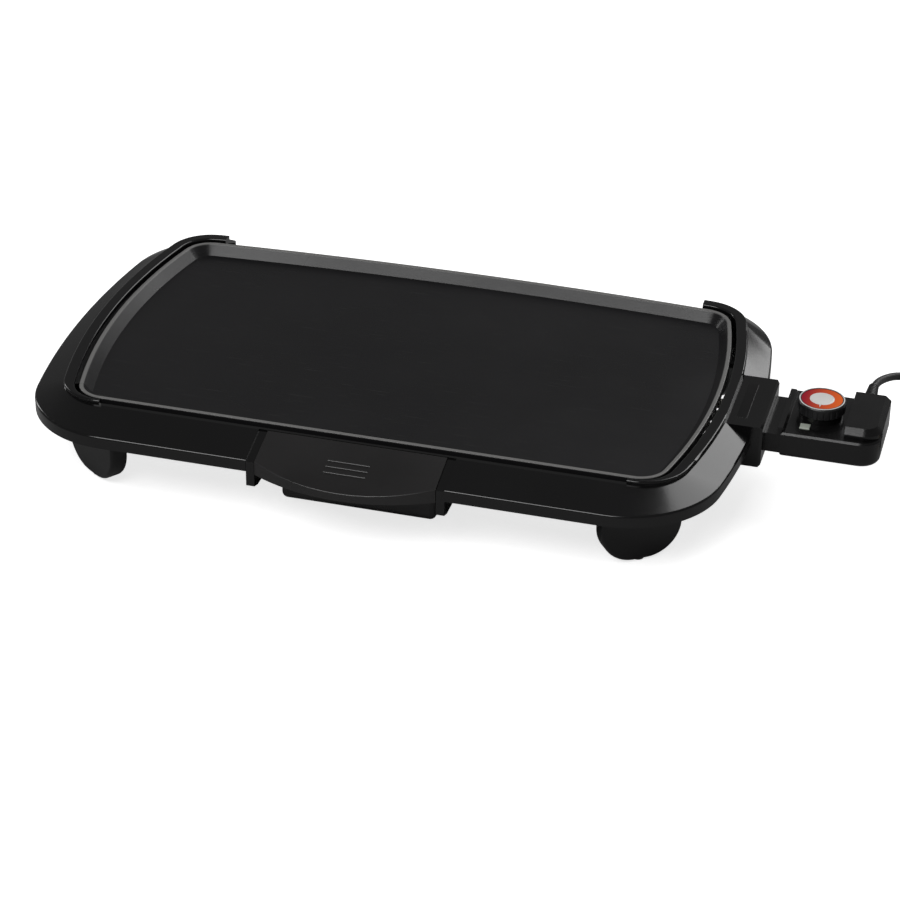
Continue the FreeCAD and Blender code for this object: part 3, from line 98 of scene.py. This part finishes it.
def fineScratches():  # sparse hairlines, as a mask
    group, entry, leave = newGroup("fineScratches", [("Scale", "NodeSocketFloat", 40.0)],
                                   [("Mask", "NodeSocketFloat")])
    coords = group.nodes.new("ShaderNodeTexCoord")
    stretch = group.nodes.new("ShaderNodeMapping")
    stretch.inputs["Rotation"].default_value = (0, 0, 0.4)
    stretch.inputs["Scale"].default_value = (1.0, 30.0, 1.0)
    noise = group.nodes.new("ShaderNodeTexNoise")
    noise.inputs["Detail"].default_value = 2.0
    ramp = group.nodes.new("ShaderNodeValToRGB")
    ramp.color_ramp.elements[0].position = 0.66
    ramp.color_ramp.elements[1].position = 0.74
    link = group.links.new
    link(coords.outputs["Object"], stretch.inputs["Vector"])
    link(stretch.outputs["Vector"], noise.inputs["Vector"])
    link(entry.outputs["Scale"], noise.inputs["Scale"])
    link(noise.outputs["Fac"], ramp.inputs["Fac"])
    link(ramp.outputs["Color"], leave.inputs["Mask"])
    return group


skinGroup = mouldedSkin()
scratchGroup = fineScratches()


def blendOver(material, colour, factor):  # lay a colour over the base colour, by a number or a mask
    shader = material.node_tree.nodes["Principled BSDF"]
    mix = material.node_tree.nodes.new("ShaderNodeMix")
    mix.data_type = "RGBA"
    link = material.node_tree.links.new
    for value, socket in ((factor, mix.inputs["Factor"]), (colour, mix.inputs["B"])):
        if isinstance(value, bpy.types.NodeSocket):
            link(value, socket)
        else:
            socket.default_value = value
    link(shader.inputs["Base Color"].links[0].from_socket, mix.inputs["A"])
    link(mix.outputs["Result"], shader.inputs["Base Color"])


def addGroup(material, group, **values):
    node = material.node_tree.nodes.new("ShaderNodeGroup")
    node.node_tree = group
    for name, value in values.items():
        node.inputs[name].default_value = value
    return node


def ramped(material, source, low, high, lowAt=0.3, highAt=0.7):
    ramp = material.node_tree.nodes.new("ShaderNodeValToRGB")
    ramp.color_ramp.elements[0].position = lowAt
    ramp.color_ramp.elements[1].position = highAt
    ramp.color_ramp.elements[0].color = (*low, 1) if len(low) == 3 else (low[0], low[0], low[0], 1)
    ramp.color_ramp.elements[1].color = (*high, 1) if len(high) == 3 else (high[0], high[0], high[0], 1)
    material.node_tree.links.new(source, ramp.inputs["Fac"])
    return ramp.outputs["Color"]


def finish(name, facts):  # an uneven colour and roughness, and a fine bump
    material = bpy.data.materials.new(name)
    material.use_nodes = True
    shader = material.node_tree.nodes["Principled BSDF"]
    skin = addGroup(material, skinGroup, Scale=facts["grain"], Depth=facts["depth"],
                    Unevenness=facts.get("uneven", 14.0))
    lowRough, highRough = facts["rough"]
    link = material.node_tree.links.new
    link(ramped(material, skin.outputs["Uneven"], facts["dark"], facts["light"]), shader.inputs["Base Color"])
    link(ramped(material, skin.outputs["Uneven"], (lowRough,), (highRough,)), shader.inputs["Roughness"])
    link(skin.outputs["Normal"], shader.inputs["Normal"])
    for socket, value in facts.get("fixed", {}).items():
        shader.inputs[socket].default_value = value
    return material


# finishes: the two colours that a skin varies between, its roughness, its grain and bump depth in metres
finishFacts = {
    "griddleCoating": {
        "dark": (0.0065, 0.0062, 0.0066), "light": (0.0100, 0.0096, 0.0100), "rough": (0.24, 0.33),
        "grain": 1300, "depth": 0.00012, "uneven": 9, "fixed": {"Specular IOR Level": 0.30}},
    "frameGloss": {
        "dark": (0.0030, 0.0029, 0.0031), "light": (0.0045, 0.0044, 0.0046), "rough": (0.10, 0.17),
        "grain": 700, "depth": 0.00003, "uneven": 6, "fixed": {"Specular IOR Level": 0.5}},
    "probeGloss": {
        "dark": (0.0035, 0.0033, 0.0035), "light": (0.0055, 0.0053, 0.0055), "rough": (0.15, 0.24),
        "grain": 900, "depth": 0.00005, "uneven": 12, "fixed": {"Specular IOR Level": 0.45}},
    "trayGloss": {
        "dark": (0.0110, 0.0104, 0.0106), "light": (0.0175, 0.0166, 0.0168), "rough": (0.26, 0.36),
        "grain": 1100, "depth": 0.00006, "uneven": 9, "fixed": {"Specular IOR Level": 0.5}},
    "knobSatin": {
        "dark": (0.010, 0.010, 0.0105), "light": (0.016, 0.016, 0.017), "rough": (0.28, 0.40),
        "grain": 1500, "depth": 0.00008, "uneven": 30},
    "badgeSatin": {
        "dark": (0.0042, 0.0041, 0.0043), "light": (0.0062, 0.0060, 0.0063), "rough": (0.13, 0.2),
        "grain": 1500, "depth": 0.00003, "uneven": 30, "fixed": {"Specular IOR Level": 0.3}},
    "padRubber": {
        "dark": (0.012, 0.012, 0.012), "light": (0.022, 0.022, 0.022), "rough": (0.7, 0.85),
        "grain": 1800, "depth": 0.0002, "uneven": 60},
    "cordJacket": {
        "dark": (0.008, 0.008, 0.0085), "light": (0.014, 0.014, 0.0145), "rough": (0.38, 0.5),
        "grain": 1600, "depth": 0.0001, "uneven": 40},
    "ceramic": {
        "dark": (0.70, 0.67, 0.60), "light": (0.80, 0.78, 0.72), "rough": (0.5, 0.65),
        "grain": 1400, "depth": 0.0001, "uneven": 60},
    "platedSteel": {
        "dark": (0.50, 0.50, 0.50), "light": (0.62, 0.62, 0.61), "rough": (0.25, 0.38),
        "grain": 1200, "depth": 0.00005, "uneven": 50, "fixed": {"Metallic": 1.0}},
    "screwSteel": {
        "dark": (0.38, 0.38, 0.39), "light": (0.50, 0.50, 0.50), "rough": (0.28, 0.42),
        "grain": 1200, "depth": 0.00005, "uneven": 80, "fixed": {"Metallic": 1.0}},
    "shieldSteel": {
        "dark": (0.42, 0.42, 0.43), "light": (0.56, 0.56, 0.57), "rough": (0.3, 0.48),
        "grain": 500, "depth": 0.00008, "uneven": 7, "fixed": {"Metallic": 1.0}},
    "elementSheath": {
        "dark": (0.16, 0.14, 0.13), "light": (0.27, 0.25, 0.24), "rough": (0.4, 0.6),
        "grain": 900, "depth": 0.0001, "uneven": 30, "fixed": {"Metallic": 0.9}},
    "contactBrass": {
        "dark": (0.60, 0.44, 0.20), "light": (0.72, 0.55, 0.28), "rough": (0.25, 0.4),
        "grain": 1000, "depth": 0.00004, "uneven": 50, "fixed": {"Metallic": 1.0}},
    "bimetal": {
        "dark": (0.46, 0.36, 0.26), "light": (0.60, 0.50, 0.38), "rough": (0.3, 0.42),
        "grain": 1000, "depth": 0.00004, "uneven": 50, "fixed": {"Metallic": 1.0}},
    "capWhite": {
        "dark": (0.70, 0.69, 0.67), "light": (0.78, 0.77, 0.75), "rough": (0.3, 0.4),
        "grain": 1500, "depth": 0.00003, "uneven": 60},
    "lensPale": {
        "dark": (0.42, 0.46, 0.40), "light": (0.54, 0.58, 0.51), "rough": (0.08, 0.14),
        "grain": 900, "depth": 0.00003, "uneven": 200},
    "lampGlass": {
        "dark": (0.75, 0.55, 0.42), "light": (0.85, 0.68, 0.55), "rough": (0.05, 0.1),
        "grain": 500, "depth": 0.00002, "uneven": 100},
    "tieMatte": {
        "dark": (0.02, 0.02, 0.022), "light": (0.035, 0.035, 0.038), "rough": (0.5, 0.65),
        "grain": 1500, "depth": 0.0001, "uneven": 60},
    "lineWhite": {
        "dark": (0.66, 0.66, 0.65), "light": (0.76, 0.76, 0.75), "rough": (0.4, 0.5),
        "grain": 1500, "depth": 0.00002, "uneven": 60},
}
finishes = {name: finish(name, facts) for name, facts in finishFacts.items()}
coating = finishes["griddleCoating"]

fleckFacts = {"scale": 420, "pale": (0.05, 0.05, 0.055), "deep": (0.013, 0.013, 0.0145),
              "edges": (0.06, 0.13), "share": 0.35}


def addFlecks(material):  # tiny pale flecks in the coating
    flecks = material.node_tree.nodes.new("ShaderNodeTexVoronoi")
    flecks.inputs["Scale"].default_value = fleckFacts["scale"]
    coords = material.node_tree.nodes.new("ShaderNodeTexCoord")
    material.node_tree.links.new(coords.outputs["Object"], flecks.inputs["Vector"])
    colour = ramped(material, flecks.outputs["Distance"], fleckFacts["pale"], fleckFacts["deep"],
                    *fleckFacts["edges"])
    blendOver(material, colour, fleckFacts["share"])


scratchFacts = {"coating": {"scale": 30, "amount": 0.024}, "shield": {"scale": 25, "amount": 0.7}}


def addScratches(material, scale, amount):  # hairlines that brighten the surface a little
    mask = addGroup(material, scratchGroup, Scale=scale)
    blendOver(material, (amount, amount, amount, 1), mask.outputs["Mask"])


# painted highlight on the plate's rim: the pale colour laid over the coating, and the band below the rim's
# top, in metres, where it fades in
rimHighlightFacts = {"colour": (0.17, 0.168, 0.165, 1), "from": 0.0009, "to": 0.0001}


def addPaintedRimHighlight(material, top):  # painted highlight along the rim of the plate: its top is given a paler base colour than the rest of the coating
    coords = material.node_tree.nodes.new("ShaderNodeTexCoord")
    parts = material.node_tree.nodes.new("ShaderNodeSeparateXYZ")
    level = material.node_tree.nodes.new("ShaderNodeMapRange")
    level.inputs["From Min"].default_value = top - rimHighlightFacts["from"]
    level.inputs["From Max"].default_value = top - rimHighlightFacts["to"]
    material.node_tree.links.new(coords.outputs["Object"], parts.inputs["Vector"])
    material.node_tree.links.new(parts.outputs["Z"], level.inputs["Value"])
    blendOver(material, rimHighlightFacts["colour"], level.outputs["Result"])


addFlecks(coating)
addScratches(coating, **scratchFacts["coating"])
# paint a highlight into the coating along the top of the plate's rim
addPaintedRimHighlight(coating, plateHigh[2])
addScratches(finishes["shieldSteel"], **scratchFacts["shield"])

dialFacts = {"x": 330.5, "y": 0.0, "top": 80.0, "line": 17.2, "lineWidth": 1.0, "rise": 0.12, "sink": -0.05,
             "bevel": 0.1, "sides": 96,
             "deepRed": (0.34, 0.008, 0.022), "orange": (0.82, 0.13, 0.015),
             "edges": (0.1, 0.9), "spread": 30}


def dialFinish():  # the temperature ring, from deep red at the left to orange at the right
    material = finish("dialColour", {
        "dark": (0.4, 0.02, 0.03), "light": (0.5, 0.03, 0.03), "rough": (0.28, 0.38), "grain": 1500,
        "depth": 0.00003, "uneven": 60, "fixed": {"Specular IOR Level": 0.14}})
    shader = material.node_tree.nodes["Principled BSDF"]
    middle = spot(dialFacts["x"], dialFacts["y"], dialFacts["top"])
    add = material.node_tree.nodes.new
    coords, centre, spread = add("ShaderNodeTexCoord"), add("ShaderNodeMapping"), add("ShaderNodeMapping")
    centre.inputs["Location"].default_value = (-middle.x, -middle.y, 0)
    spread.inputs["Location"].default_value = (0.5, 0, 0)
    spread.inputs["Scale"].default_value = (dialFacts["spread"], dialFacts["spread"], 1)
    across = add("ShaderNodeTexGradient")
    across.gradient_type = "LINEAR"
    link = material.node_tree.links.new
    link(coords.outputs["Object"], centre.inputs["Vector"])
    link(centre.outputs["Vector"], spread.inputs["Vector"])
    link(spread.outputs["Vector"], across.inputs["Vector"])
    colour = ramped(material, across.outputs["Fac"], dialFacts["deepRed"], dialFacts["orange"],
                    *dialFacts["edges"])
    link(colour, shader.inputs["Base Color"])
    return material


finishes["dialColour"] = dialFinish()

nodeFinishes = {
    "griddleCoating": ["griddle_plate"],
    "elementSheath": ["heating_element"],
    "platedSteel": ["terminal_pins", "probe_sleeve", "sensing_rod", "thermostat_shaft"],
    "ceramic": ["terminal_beads", "contact_carrier", "insulator_discs"],
    "shieldSteel": ["heat_shield", "thermostat_bracket"],
    "frameGloss": ["base_frame", "foot_front_left", "foot_front_right", "foot_rear_left",
                   "foot_rear_right", "tray_guide_left", "tray_guide_right", "socket_housing"],
    "screwSteel": ["plate_screws", "foot_screws", "guide_screws", "socket_screws", "probe_screws"],
    "padRubber": ["foot_pad_front_left", "foot_pad_front_right", "foot_pad_rear_left",
                  "foot_pad_rear_right"],
    "trayGloss": ["drip_tray"],
    "badgeSatin": ["badge_plate"],
    "probeGloss": ["probe_upper_shell", "probe_lower_shell"],
    "contactBrass": ["receptacle_contacts", "contact_blades", "plug_blades"],
    "bimetal": ["bimetal_strip"],
    "lampGlass": ["neon_lamp"],
    "lensPale": ["indicator_lens"],
    "knobSatin": ["control_knob"],
    "dialColour": ["dial_ring"],
    "capWhite": ["knob_cap"],
    "cordJacket": ["strain_relief", "power_cord", "cord_coil", "cord_tail", "plug_body"],
    "tieMatte": ["coil_tie"],
}
for finishName, nodeNames in nodeFinishes.items():
    for nodeName in nodeNames:
        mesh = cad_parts[nodeName].data
        mesh.materials.clear()
        mesh.materials.append(finishes[finishName])
print("finishes on", sum(len(names) for names in nodeFinishes.values()), "nodes")


# supply cord: straight out of the strain relief, down to the table, and put away in a coil

cordFacts = {
    "radius": 0.0032, "length": 0.905,  # metres
    "exit": (363.5, 36, 64), "start": (363.5, 58.8, 64),  # plate millimetres from here on
    "route": [(0, -14, 0), (0, 0, 0), (2.5, 20, -4), (13, 43, -10), (31, 63, -21), (57, 73, -40)],
    "coilX": 445.5, "coilY": 95.0, "turns": 3.25, "steps": 14,
    # each change of the strand's ring and height: from, to, first turn, last turn
    "rings": [(39.3, 32.8, 0.85, 1.1), (0, 3.2, 2.0, 2.2), (0, -3.2, 2.7, 2.95), (0, 5.2, 3.0, 3.25)],
    "heights": [(9.8, 4.2, 0.0, 0.3), (0, 5.6, 1.95, 2.15)],
    "tail": [(38, -14, 8.8), (38, -34, 7.5)],
}


def coilStrand(turn):  # ring radius and height of the strand after so many turns
    def between(a, b, start, end):
        share = min(max((turn - start) / (end - start), 0), 1)
        share = share * share * (3 - 2 * share)
        return a + (b - a) * share
    return sum(between(*change) for change in cordFacts["rings"]), sum(
        between(*change) for change in cordFacts["heights"])


def makeCord():
    start = Vector(cordFacts["start"])
    coilX, coilY = cordFacts["coilX"], cordFacts["coilY"]
    points = [spot(*(start + Vector(step))) for step in cordFacts["route"]]
    count = int(cordFacts["turns"] * cordFacts["steps"])
    for step in range(count + 1):
        turn = step / cordFacts["steps"]
        ring, height = coilStrand(turn)
        angle = math.pi / 2 - turn * 2 * math.pi
        points.append(spot(coilX + ring * math.cos(angle), coilY + ring * math.sin(angle), height))
    points += [spot(coilX + x, coilY + y, z) for x, y, z in cordFacts["tail"]]
    curve = bpy.data.curves.new("supplyCord", "CURVE")
    curve.dimensions = "3D"
    spline = curve.splines.new("NURBS")
    spline.points.add(len(points) - 1)
    for place, point in zip(spline.points, points):
        place.co = (*point, 1)
    spline.order_u = 3
    spline.use_endpoint_u = True
    spline.resolution_u = 6
    curve.bevel_depth = cordFacts["radius"]
    curve.bevel_resolution = 5
    curve.use_fill_caps = True
    curve.materials.append(finishes["cordJacket"])
    return linkPiece("supplyCord", curve)


cord = makeCord()
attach(cord, "probe")
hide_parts("power_cord", "cord_coil", "cord_tail")
print("cord laid")


# the knob's printed outer line and pointer

def makeDialLine():
    mesh = bpy.data.meshes.new("dialLine")
    form = bmesh.new()
    rings = []
    sides = dialFacts["sides"]
    middle = dialFacts["line"]
    half = dialFacts["lineWidth"] / 2
    bevel, sink, rise = dialFacts["bevel"], dialFacts["sink"], dialFacts["rise"]
    for radius, height in ((middle - half, sink), (middle - half + bevel, rise),
                           (middle + half - bevel, rise), (middle + half, sink)):
        ring = [form.verts.new(spot(dialFacts["x"] + radius * math.cos(2 * math.pi * i / sides),
                                    dialFacts["y"] + radius * math.sin(2 * math.pi * i / sides),
                                    dialFacts["top"] + height)) for i in range(sides)]
        rings.append(ring)
    for a, b in zip(rings, rings[1:] + rings[:1]):
        for i in range(sides):
            form.faces.new((a[i], b[i], b[(i + 1) % sides], a[(i + 1) % sides]))
    bmesh.ops.recalc_face_normals(form, faces=form.faces)
    form.to_mesh(mesh)
    form.free()
    mesh.materials.append(finishes["lineWhite"])
    return linkPiece("dialLine", mesh)


def nodeTree(name, inputs):
    tree = bpy.data.node_groups.new(name, "GeometryNodeTree")
    tree.interface.new_socket("Geometry", in_out="INPUT", socket_type="NodeSocketGeometry")
    for label, kind, value in inputs:
        tree.interface.new_socket(label, in_out="INPUT", socket_type=kind).default_value = value
    tree.interface.new_socket("Geometry", in_out="OUTPUT", socket_type="NodeSocketGeometry")
    return tree, tree.nodes.new("NodeGroupInput"), tree.nodes.new("NodeGroupOutput")


def socketName(tree, label):
    for item in tree.interface.items_tree:
        if item.name == label and item.in_out == "INPUT":
            return item.identifier


def grow(name, mesh, tree, values, material):  # run a geometry tree on a mesh and keep a plain piece
    holder = linkPiece(name + "Holder", mesh)
    modifier = holder.modifiers.new("grow", "NODES")
    modifier.node_group = tree
    for label, value in values.items():
        modifier[socketName(tree, label)] = value
    evaluated = holder.evaluated_get(bpy.context.evaluated_depsgraph_get())
    result = bpy.data.meshes.new_from_object(evaluated)
    result.name = name
    if not result.materials:
        result.materials.append(material)
    bpy.data.objects.remove(holder)
    return linkPiece(name, result)


dialLine = makeDialLine()
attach(dialLine, "knob")

pointerFacts = {"base": -9.0, "shoulder": -10.2, "length": 3.0, "width": 1.6, "tip": 0.3, "low": 79.75,
                "high": 80.3, "taper": 0.8}


def makePointer():
    mesh = bpy.data.meshes.new("dialPointer")
    form = bmesh.new()
    half, tip = pointerFacts["width"] / 2, pointerFacts["tip"]
    near, far = pointerFacts["base"], pointerFacts["shoulder"] - pointerFacts["length"]
    outline = [(-half, near), (half, near), (half * tip, far), (-half * tip, far)]
    low = [form.verts.new(spot(dialFacts["x"] + a, b, pointerFacts["low"])) for a, b in outline]
    high = [form.verts.new(spot(dialFacts["x"] + a * pointerFacts["taper"], b, pointerFacts["high"]))
            for a, b in outline]
    form.faces.new(high)
    form.faces.new(low[::-1])
    for i in range(4):
        form.faces.new((low[i], low[(i + 1) % 4], high[(i + 1) % 4], high[i]))
    bmesh.ops.recalc_face_normals(form, faces=form.faces)
    form.to_mesh(mesh)
    form.free()
    mesh.materials.append(finishes["lineWhite"])
    return linkPiece("dialPointer", mesh)


pointer = makePointer()
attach(pointer, "knob")
print("knob dial finished")


# ribbed strain relief, and screws with cross recesses

reliefFacts = {"at": (363.5, 35.4, 64), "ribs": 9, "root": 0.0055, "tip": 0.0041, "length": 0.022,
               "rib": 0.0013, "coreRoot": 0.0046, "coreTip": 0.0036}


def reliefTree():  # a tapered core with thin discs threaded along it
    tree, entry, leave = nodeTree("reliefRibs", [
        ("Ribs", "NodeSocketInt", 9), ("Root", "NodeSocketFloat", 0.0055), ("Tip", "NodeSocketFloat", 0.004),
        ("Length", "NodeSocketFloat", 0.022), ("Rib", "NodeSocketFloat", 0.0013),
        ("Core Root", "NodeSocketFloat", 0.0046), ("Core Tip", "NodeSocketFloat", 0.0036),
        ("Finish", "NodeSocketMaterial", None)])
    add, link = tree.nodes.new, tree.links.new
    core = add("GeometryNodeMeshCone")
    core.inputs["Vertices"].default_value = 40
    link(entry.outputs["Core Tip"], core.inputs["Radius Top"])
    link(entry.outputs["Core Root"], core.inputs["Radius Bottom"])
    link(entry.outputs["Length"], core.inputs["Depth"])
    ends = add("ShaderNodeCombineXYZ")
    link(entry.outputs["Length"], ends.inputs["Z"])
    line = add("GeometryNodeMeshLine")
    line.mode = "END_POINTS"
    link(entry.outputs["Ribs"], line.inputs["Count"])
    link(ends.outputs["Vector"], line.inputs["Offset"])
    disc = add("GeometryNodeMeshCylinder")
    disc.inputs["Vertices"].default_value = 40
    disc.inputs["Radius"].default_value = 1.0
    link(entry.outputs["Rib"], disc.inputs["Depth"])
    height = add("ShaderNodeSeparateXYZ")
    where = add("GeometryNodeInputPosition")
    link(where.outputs["Position"], height.inputs["Vector"])
    taper = add("ShaderNodeMapRange")
    link(height.outputs["Z"], taper.inputs["Value"])
    link(entry.outputs["Length"], taper.inputs["From Max"])
    link(entry.outputs["Root"], taper.inputs["To Min"])
    link(entry.outputs["Tip"], taper.inputs["To Max"])
    scale = add("ShaderNodeCombineXYZ")
    link(taper.outputs["Result"], scale.inputs["X"])
    link(taper.outputs["Result"], scale.inputs["Y"])
    scale.inputs["Z"].default_value = 1.0
    thread = add("GeometryNodeInstanceOnPoints")
    link(line.outputs["Mesh"], thread.inputs["Points"])
    link(disc.outputs["Mesh"], thread.inputs["Instance"])
    link(scale.outputs["Vector"], thread.inputs["Scale"])
    both = add("GeometryNodeJoinGeometry")
    link(core.outputs["Mesh"], both.inputs["Geometry"])
    link(thread.outputs["Instances"], both.inputs["Geometry"])
    real, paint = add("GeometryNodeRealizeInstances"), add("GeometryNodeSetMaterial")
    link(both.outputs["Geometry"], real.inputs["Geometry"])
    link(real.outputs["Geometry"], paint.inputs["Geometry"])
    link(entry.outputs["Finish"], paint.inputs["Material"])
    link(paint.outputs["Geometry"], leave.inputs["Geometry"])
    return tree


relief = grow("reliefRibs", bpy.data.meshes.new("reliefSeed"), reliefTree(), {
    "Ribs": reliefFacts["ribs"], "Root": reliefFacts["root"], "Tip": reliefFacts["tip"],
    "Length": reliefFacts["length"], "Rib": reliefFacts["rib"], "Core Root": reliefFacts["coreRoot"],
    "Core Tip": reliefFacts["coreTip"], "Finish": finishes["cordJacket"]}, finishes["cordJacket"])
reliefTurn = Matrix.Rotation(math.radians(-90), 4, "X")
relief.data.transform(Matrix.Translation(spot(*reliefFacts["at"])) @ reliefTurn)
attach(relief, "probe")
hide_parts("strain_relief")


def screwTree():  # a pan head with a cross recess, and its shank, at every point
    tree, entry, leave = nodeTree("panScrews", [
        ("Head", "NodeSocketFloat", 0.0034), ("Thick", "NodeSocketFloat", 0.0018),
        ("Shank", "NodeSocketFloat", 0.002), ("Length", "NodeSocketFloat", 0.01),
        ("Slot", "NodeSocketFloat", 0.0009), ("Finish", "NodeSocketMaterial", None)])
    add, link = tree.nodes.new, tree.links.new

    def shifted(source, height):
        move = add("GeometryNodeTransform")
        offset = add("ShaderNodeCombineXYZ")
        link(height, offset.inputs["Z"])
        link(source, move.inputs["Geometry"])
        link(offset.outputs["Vector"], move.inputs["Translation"])
        return move.outputs["Geometry"]

    def times(value, factor):
        product = add("ShaderNodeMath")
        product.operation = "MULTIPLY"
        product.inputs[1].default_value = factor
        link(value, product.inputs[0])
        return product.outputs[0]

    head = add("GeometryNodeMeshCone")
    head.inputs["Vertices"].default_value = 32
    link(entry.outputs["Head"], head.inputs["Radius Top"])
    link(times(entry.outputs["Head"], 0.82), head.inputs["Radius Bottom"])
    link(entry.outputs["Thick"], head.inputs["Depth"])
    headPlaced = shifted(head.outputs["Mesh"], times(entry.outputs["Thick"], -1.0))
    cross = add("GeometryNodeJoinGeometry")
    for first, second in (("X", "Y"), ("Y", "X")):
        size = add("ShaderNodeCombineXYZ")
        link(times(entry.outputs["Head"], 1.15), size.inputs[first])
        link(entry.outputs["Slot"], size.inputs[second])
        link(times(entry.outputs["Thick"], 1.2), size.inputs["Z"])
        bar = add("GeometryNodeMeshCube")
        link(size.outputs["Vector"], bar.inputs["Size"])
        link(shifted(bar.outputs["Mesh"], times(entry.outputs["Thick"], -1.05)), cross.inputs["Geometry"])
    cutter = add("GeometryNodeMeshBoolean")
    cutter.operation = "DIFFERENCE"
    link(headPlaced, cutter.inputs["Mesh 1"])
    link(cross.outputs["Geometry"], cutter.inputs["Mesh 2"])
    shank = add("GeometryNodeMeshCylinder")
    shank.inputs["Vertices"].default_value = 24
    link(entry.outputs["Shank"], shank.inputs["Radius"])
    link(entry.outputs["Length"], shank.inputs["Depth"])
    whole = add("GeometryNodeJoinGeometry")
    link(cutter.outputs["Mesh"], whole.inputs["Geometry"])
    link(shifted(shank.outputs["Mesh"], times(entry.outputs["Length"], 0.5)), whole.inputs["Geometry"])
    spread = add("GeometryNodeInstanceOnPoints")
    link(entry.outputs["Geometry"], spread.inputs["Points"])
    link(whole.outputs["Geometry"], spread.inputs["Instance"])
    real, paint = add("GeometryNodeRealizeInstances"), add("GeometryNodeSetMaterial")
    link(spread.outputs["Instances"], real.inputs["Geometry"])
    link(real.outputs["Geometry"], paint.inputs["Geometry"])
    link(entry.outputs["Finish"], paint.inputs["Material"])
    link(paint.outputs["Geometry"], leave.inputs["Geometry"])
    return tree


screwShape = {"head": 0.0017, "thick": 0.0009, "slot": 0.0004}  # metres for each millimetre of shank
screwSets = {
    "plateScrewSet": {"at": [(x, y, 46) for x in (-203, 203) for y in (-100, 100)], "shank": 2.0,
                      "length": 10.0, "body": "base", "stands": "plate_screws"},
    "footScrewSet": {"at": [(x, y, 34.5) for x in (-217.7, 217.7) for y in (-138.8, 124.8)], "shank": 2.0,
                     "length": 15.0, "body": "base", "stands": "foot_screws"},
    "guideScrewSet": {"at": [(x, -59.1, 36) for x in (-74.9, 74.9)], "shank": 1.5, "length": 17.0,
                      "body": "base", "stands": "guide_screws"},
    "probeScrewSet": {"at": [(313, -27, 45.5), (313, 27, 45.5), (371, 0, 45.5)], "shank": 1.5, "length": 13.0,
                      "body": "probe", "stands": "probe_screws"},
}
panScrews = screwTree()
for setName, facts in screwSets.items():
    seats = bpy.data.meshes.new(setName + "Seats")
    seats.from_pydata([spot(*place) for place in facts["at"]], [], [])
    screws = grow(setName, seats, panScrews, {
        "Head": facts["shank"] * screwShape["head"], "Thick": facts["shank"] * screwShape["thick"],
        "Shank": facts["shank"] / 1000, "Length": facts["length"] / 1000,
        "Slot": facts["shank"] * screwShape["slot"], "Finish": finishes["screwSteel"],
    }, finishes["screwSteel"])
    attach(screws, facts["body"])
    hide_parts(facts["stands"])
print("screws and strain relief finished")


# floor, light and camera

floorFacts = {"corners": ((-6, -5), (6, -5), (6, 9), (-6, 9)), "height": -0.0002,
              "glow": 0.75, "mirrored": 0.34}


def makeFloor():
    mesh = bpy.data.meshes.new("tableTop")
    form = bmesh.new()
    form.faces.new([form.verts.new((x, y, floorFacts["height"])) for x, y in floorFacts["corners"]])
    form.to_mesh(mesh)
    form.free()
    floor = linkPiece("tableTop", mesh)
    top = finish("tableTop", {"dark": (0.84, 0.84, 0.84), "light": (0.87, 0.87, 0.87), "rough": (0.6, 0.7),
                              "grain": 200, "depth": 0.00002, "uneven": 2})
    shader = top.node_tree.nodes["Principled BSDF"]
    glow, grey = floorFacts["glow"], floorFacts["mirrored"]
    shader.inputs["Emission Color"].default_value = (glow, glow, glow, 1)
    rays = top.node_tree.nodes.new("ShaderNodeLightPath")  # the table glows for the eye, not in reflections
    top.node_tree.links.new(rays.outputs["Is Camera Ray"], shader.inputs["Emission Strength"])
    blendOver(top, (grey, grey, grey, 1), rays.outputs["Is Glossy Ray"])
    mesh.materials.append(top)


lightFacts = {
    "rearRightBox": {"where": (0.98, 1.70, 1.68), "towards": (0.15, 0, 0.05), "size": (1.3, 2.1),
                     "power": 28},
    "frontBox": {"where": (-0.55, -1.7, 2.1), "towards": (0, 0, 0), "size": (1.7, 1.2), "power": 38},
    "leftStrip": {"where": (-2.2, 0.9, 0.9), "towards": (-0.3, 0, 0.05), "size": (0.25, 1.2), "power": 5},
}


def softBox(name, where, towards, size, power):
    light = bpy.data.lights.new(name, "AREA")
    light.shape = "RECTANGLE"
    light.size, light.size_y = size
    light.energy = power
    lamp = linkPiece(name, light)
    lamp.location = where
    lamp.rotation_euler = (Vector(towards) - Vector(where)).to_track_quat("-Z", "Y").to_euler()


makeFloor()
for lightName, facts in lightFacts.items():
    softBox(lightName, **facts)

world = bpy.data.worlds.new("studio")
bpy.context.scene.world = world
world.use_nodes = True
world.node_tree.nodes["Background"].inputs["Color"].default_value = (1, 1, 1, 1)
world.node_tree.nodes["Background"].inputs["Strength"].default_value = 0.14

cameraFacts = {"azimuth": 15.16, "elevation": 30.53, "roll": 0.70, "lens": 111.2,
               "at": (543.6, -1888.0, 1137.3)}


def makeCamera():
    data = bpy.data.cameras.new("camera")
    data.lens = cameraFacts["lens"]
    data.sensor_width = 36
    data.clip_end = 50
    camera = linkPiece("camera", data)
    turn = Matrix.Rotation(math.radians(cameraFacts["azimuth"]), 4, "Z")
    tilt = Matrix.Rotation(math.radians(90 - cameraFacts["elevation"]), 4, "X")
    roll = Matrix.Rotation(math.radians(cameraFacts["roll"]), 4, "Z")
    camera.matrix_world = Matrix.Translation(spot(*cameraFacts["at"])) @ turn @ tilt @ roll
    bpy.context.scene.camera = camera


makeCamera()
bpy.context.scene.view_settings.view_transform = "Standard"
print("stage set")

bpy.context.view_layer.update()
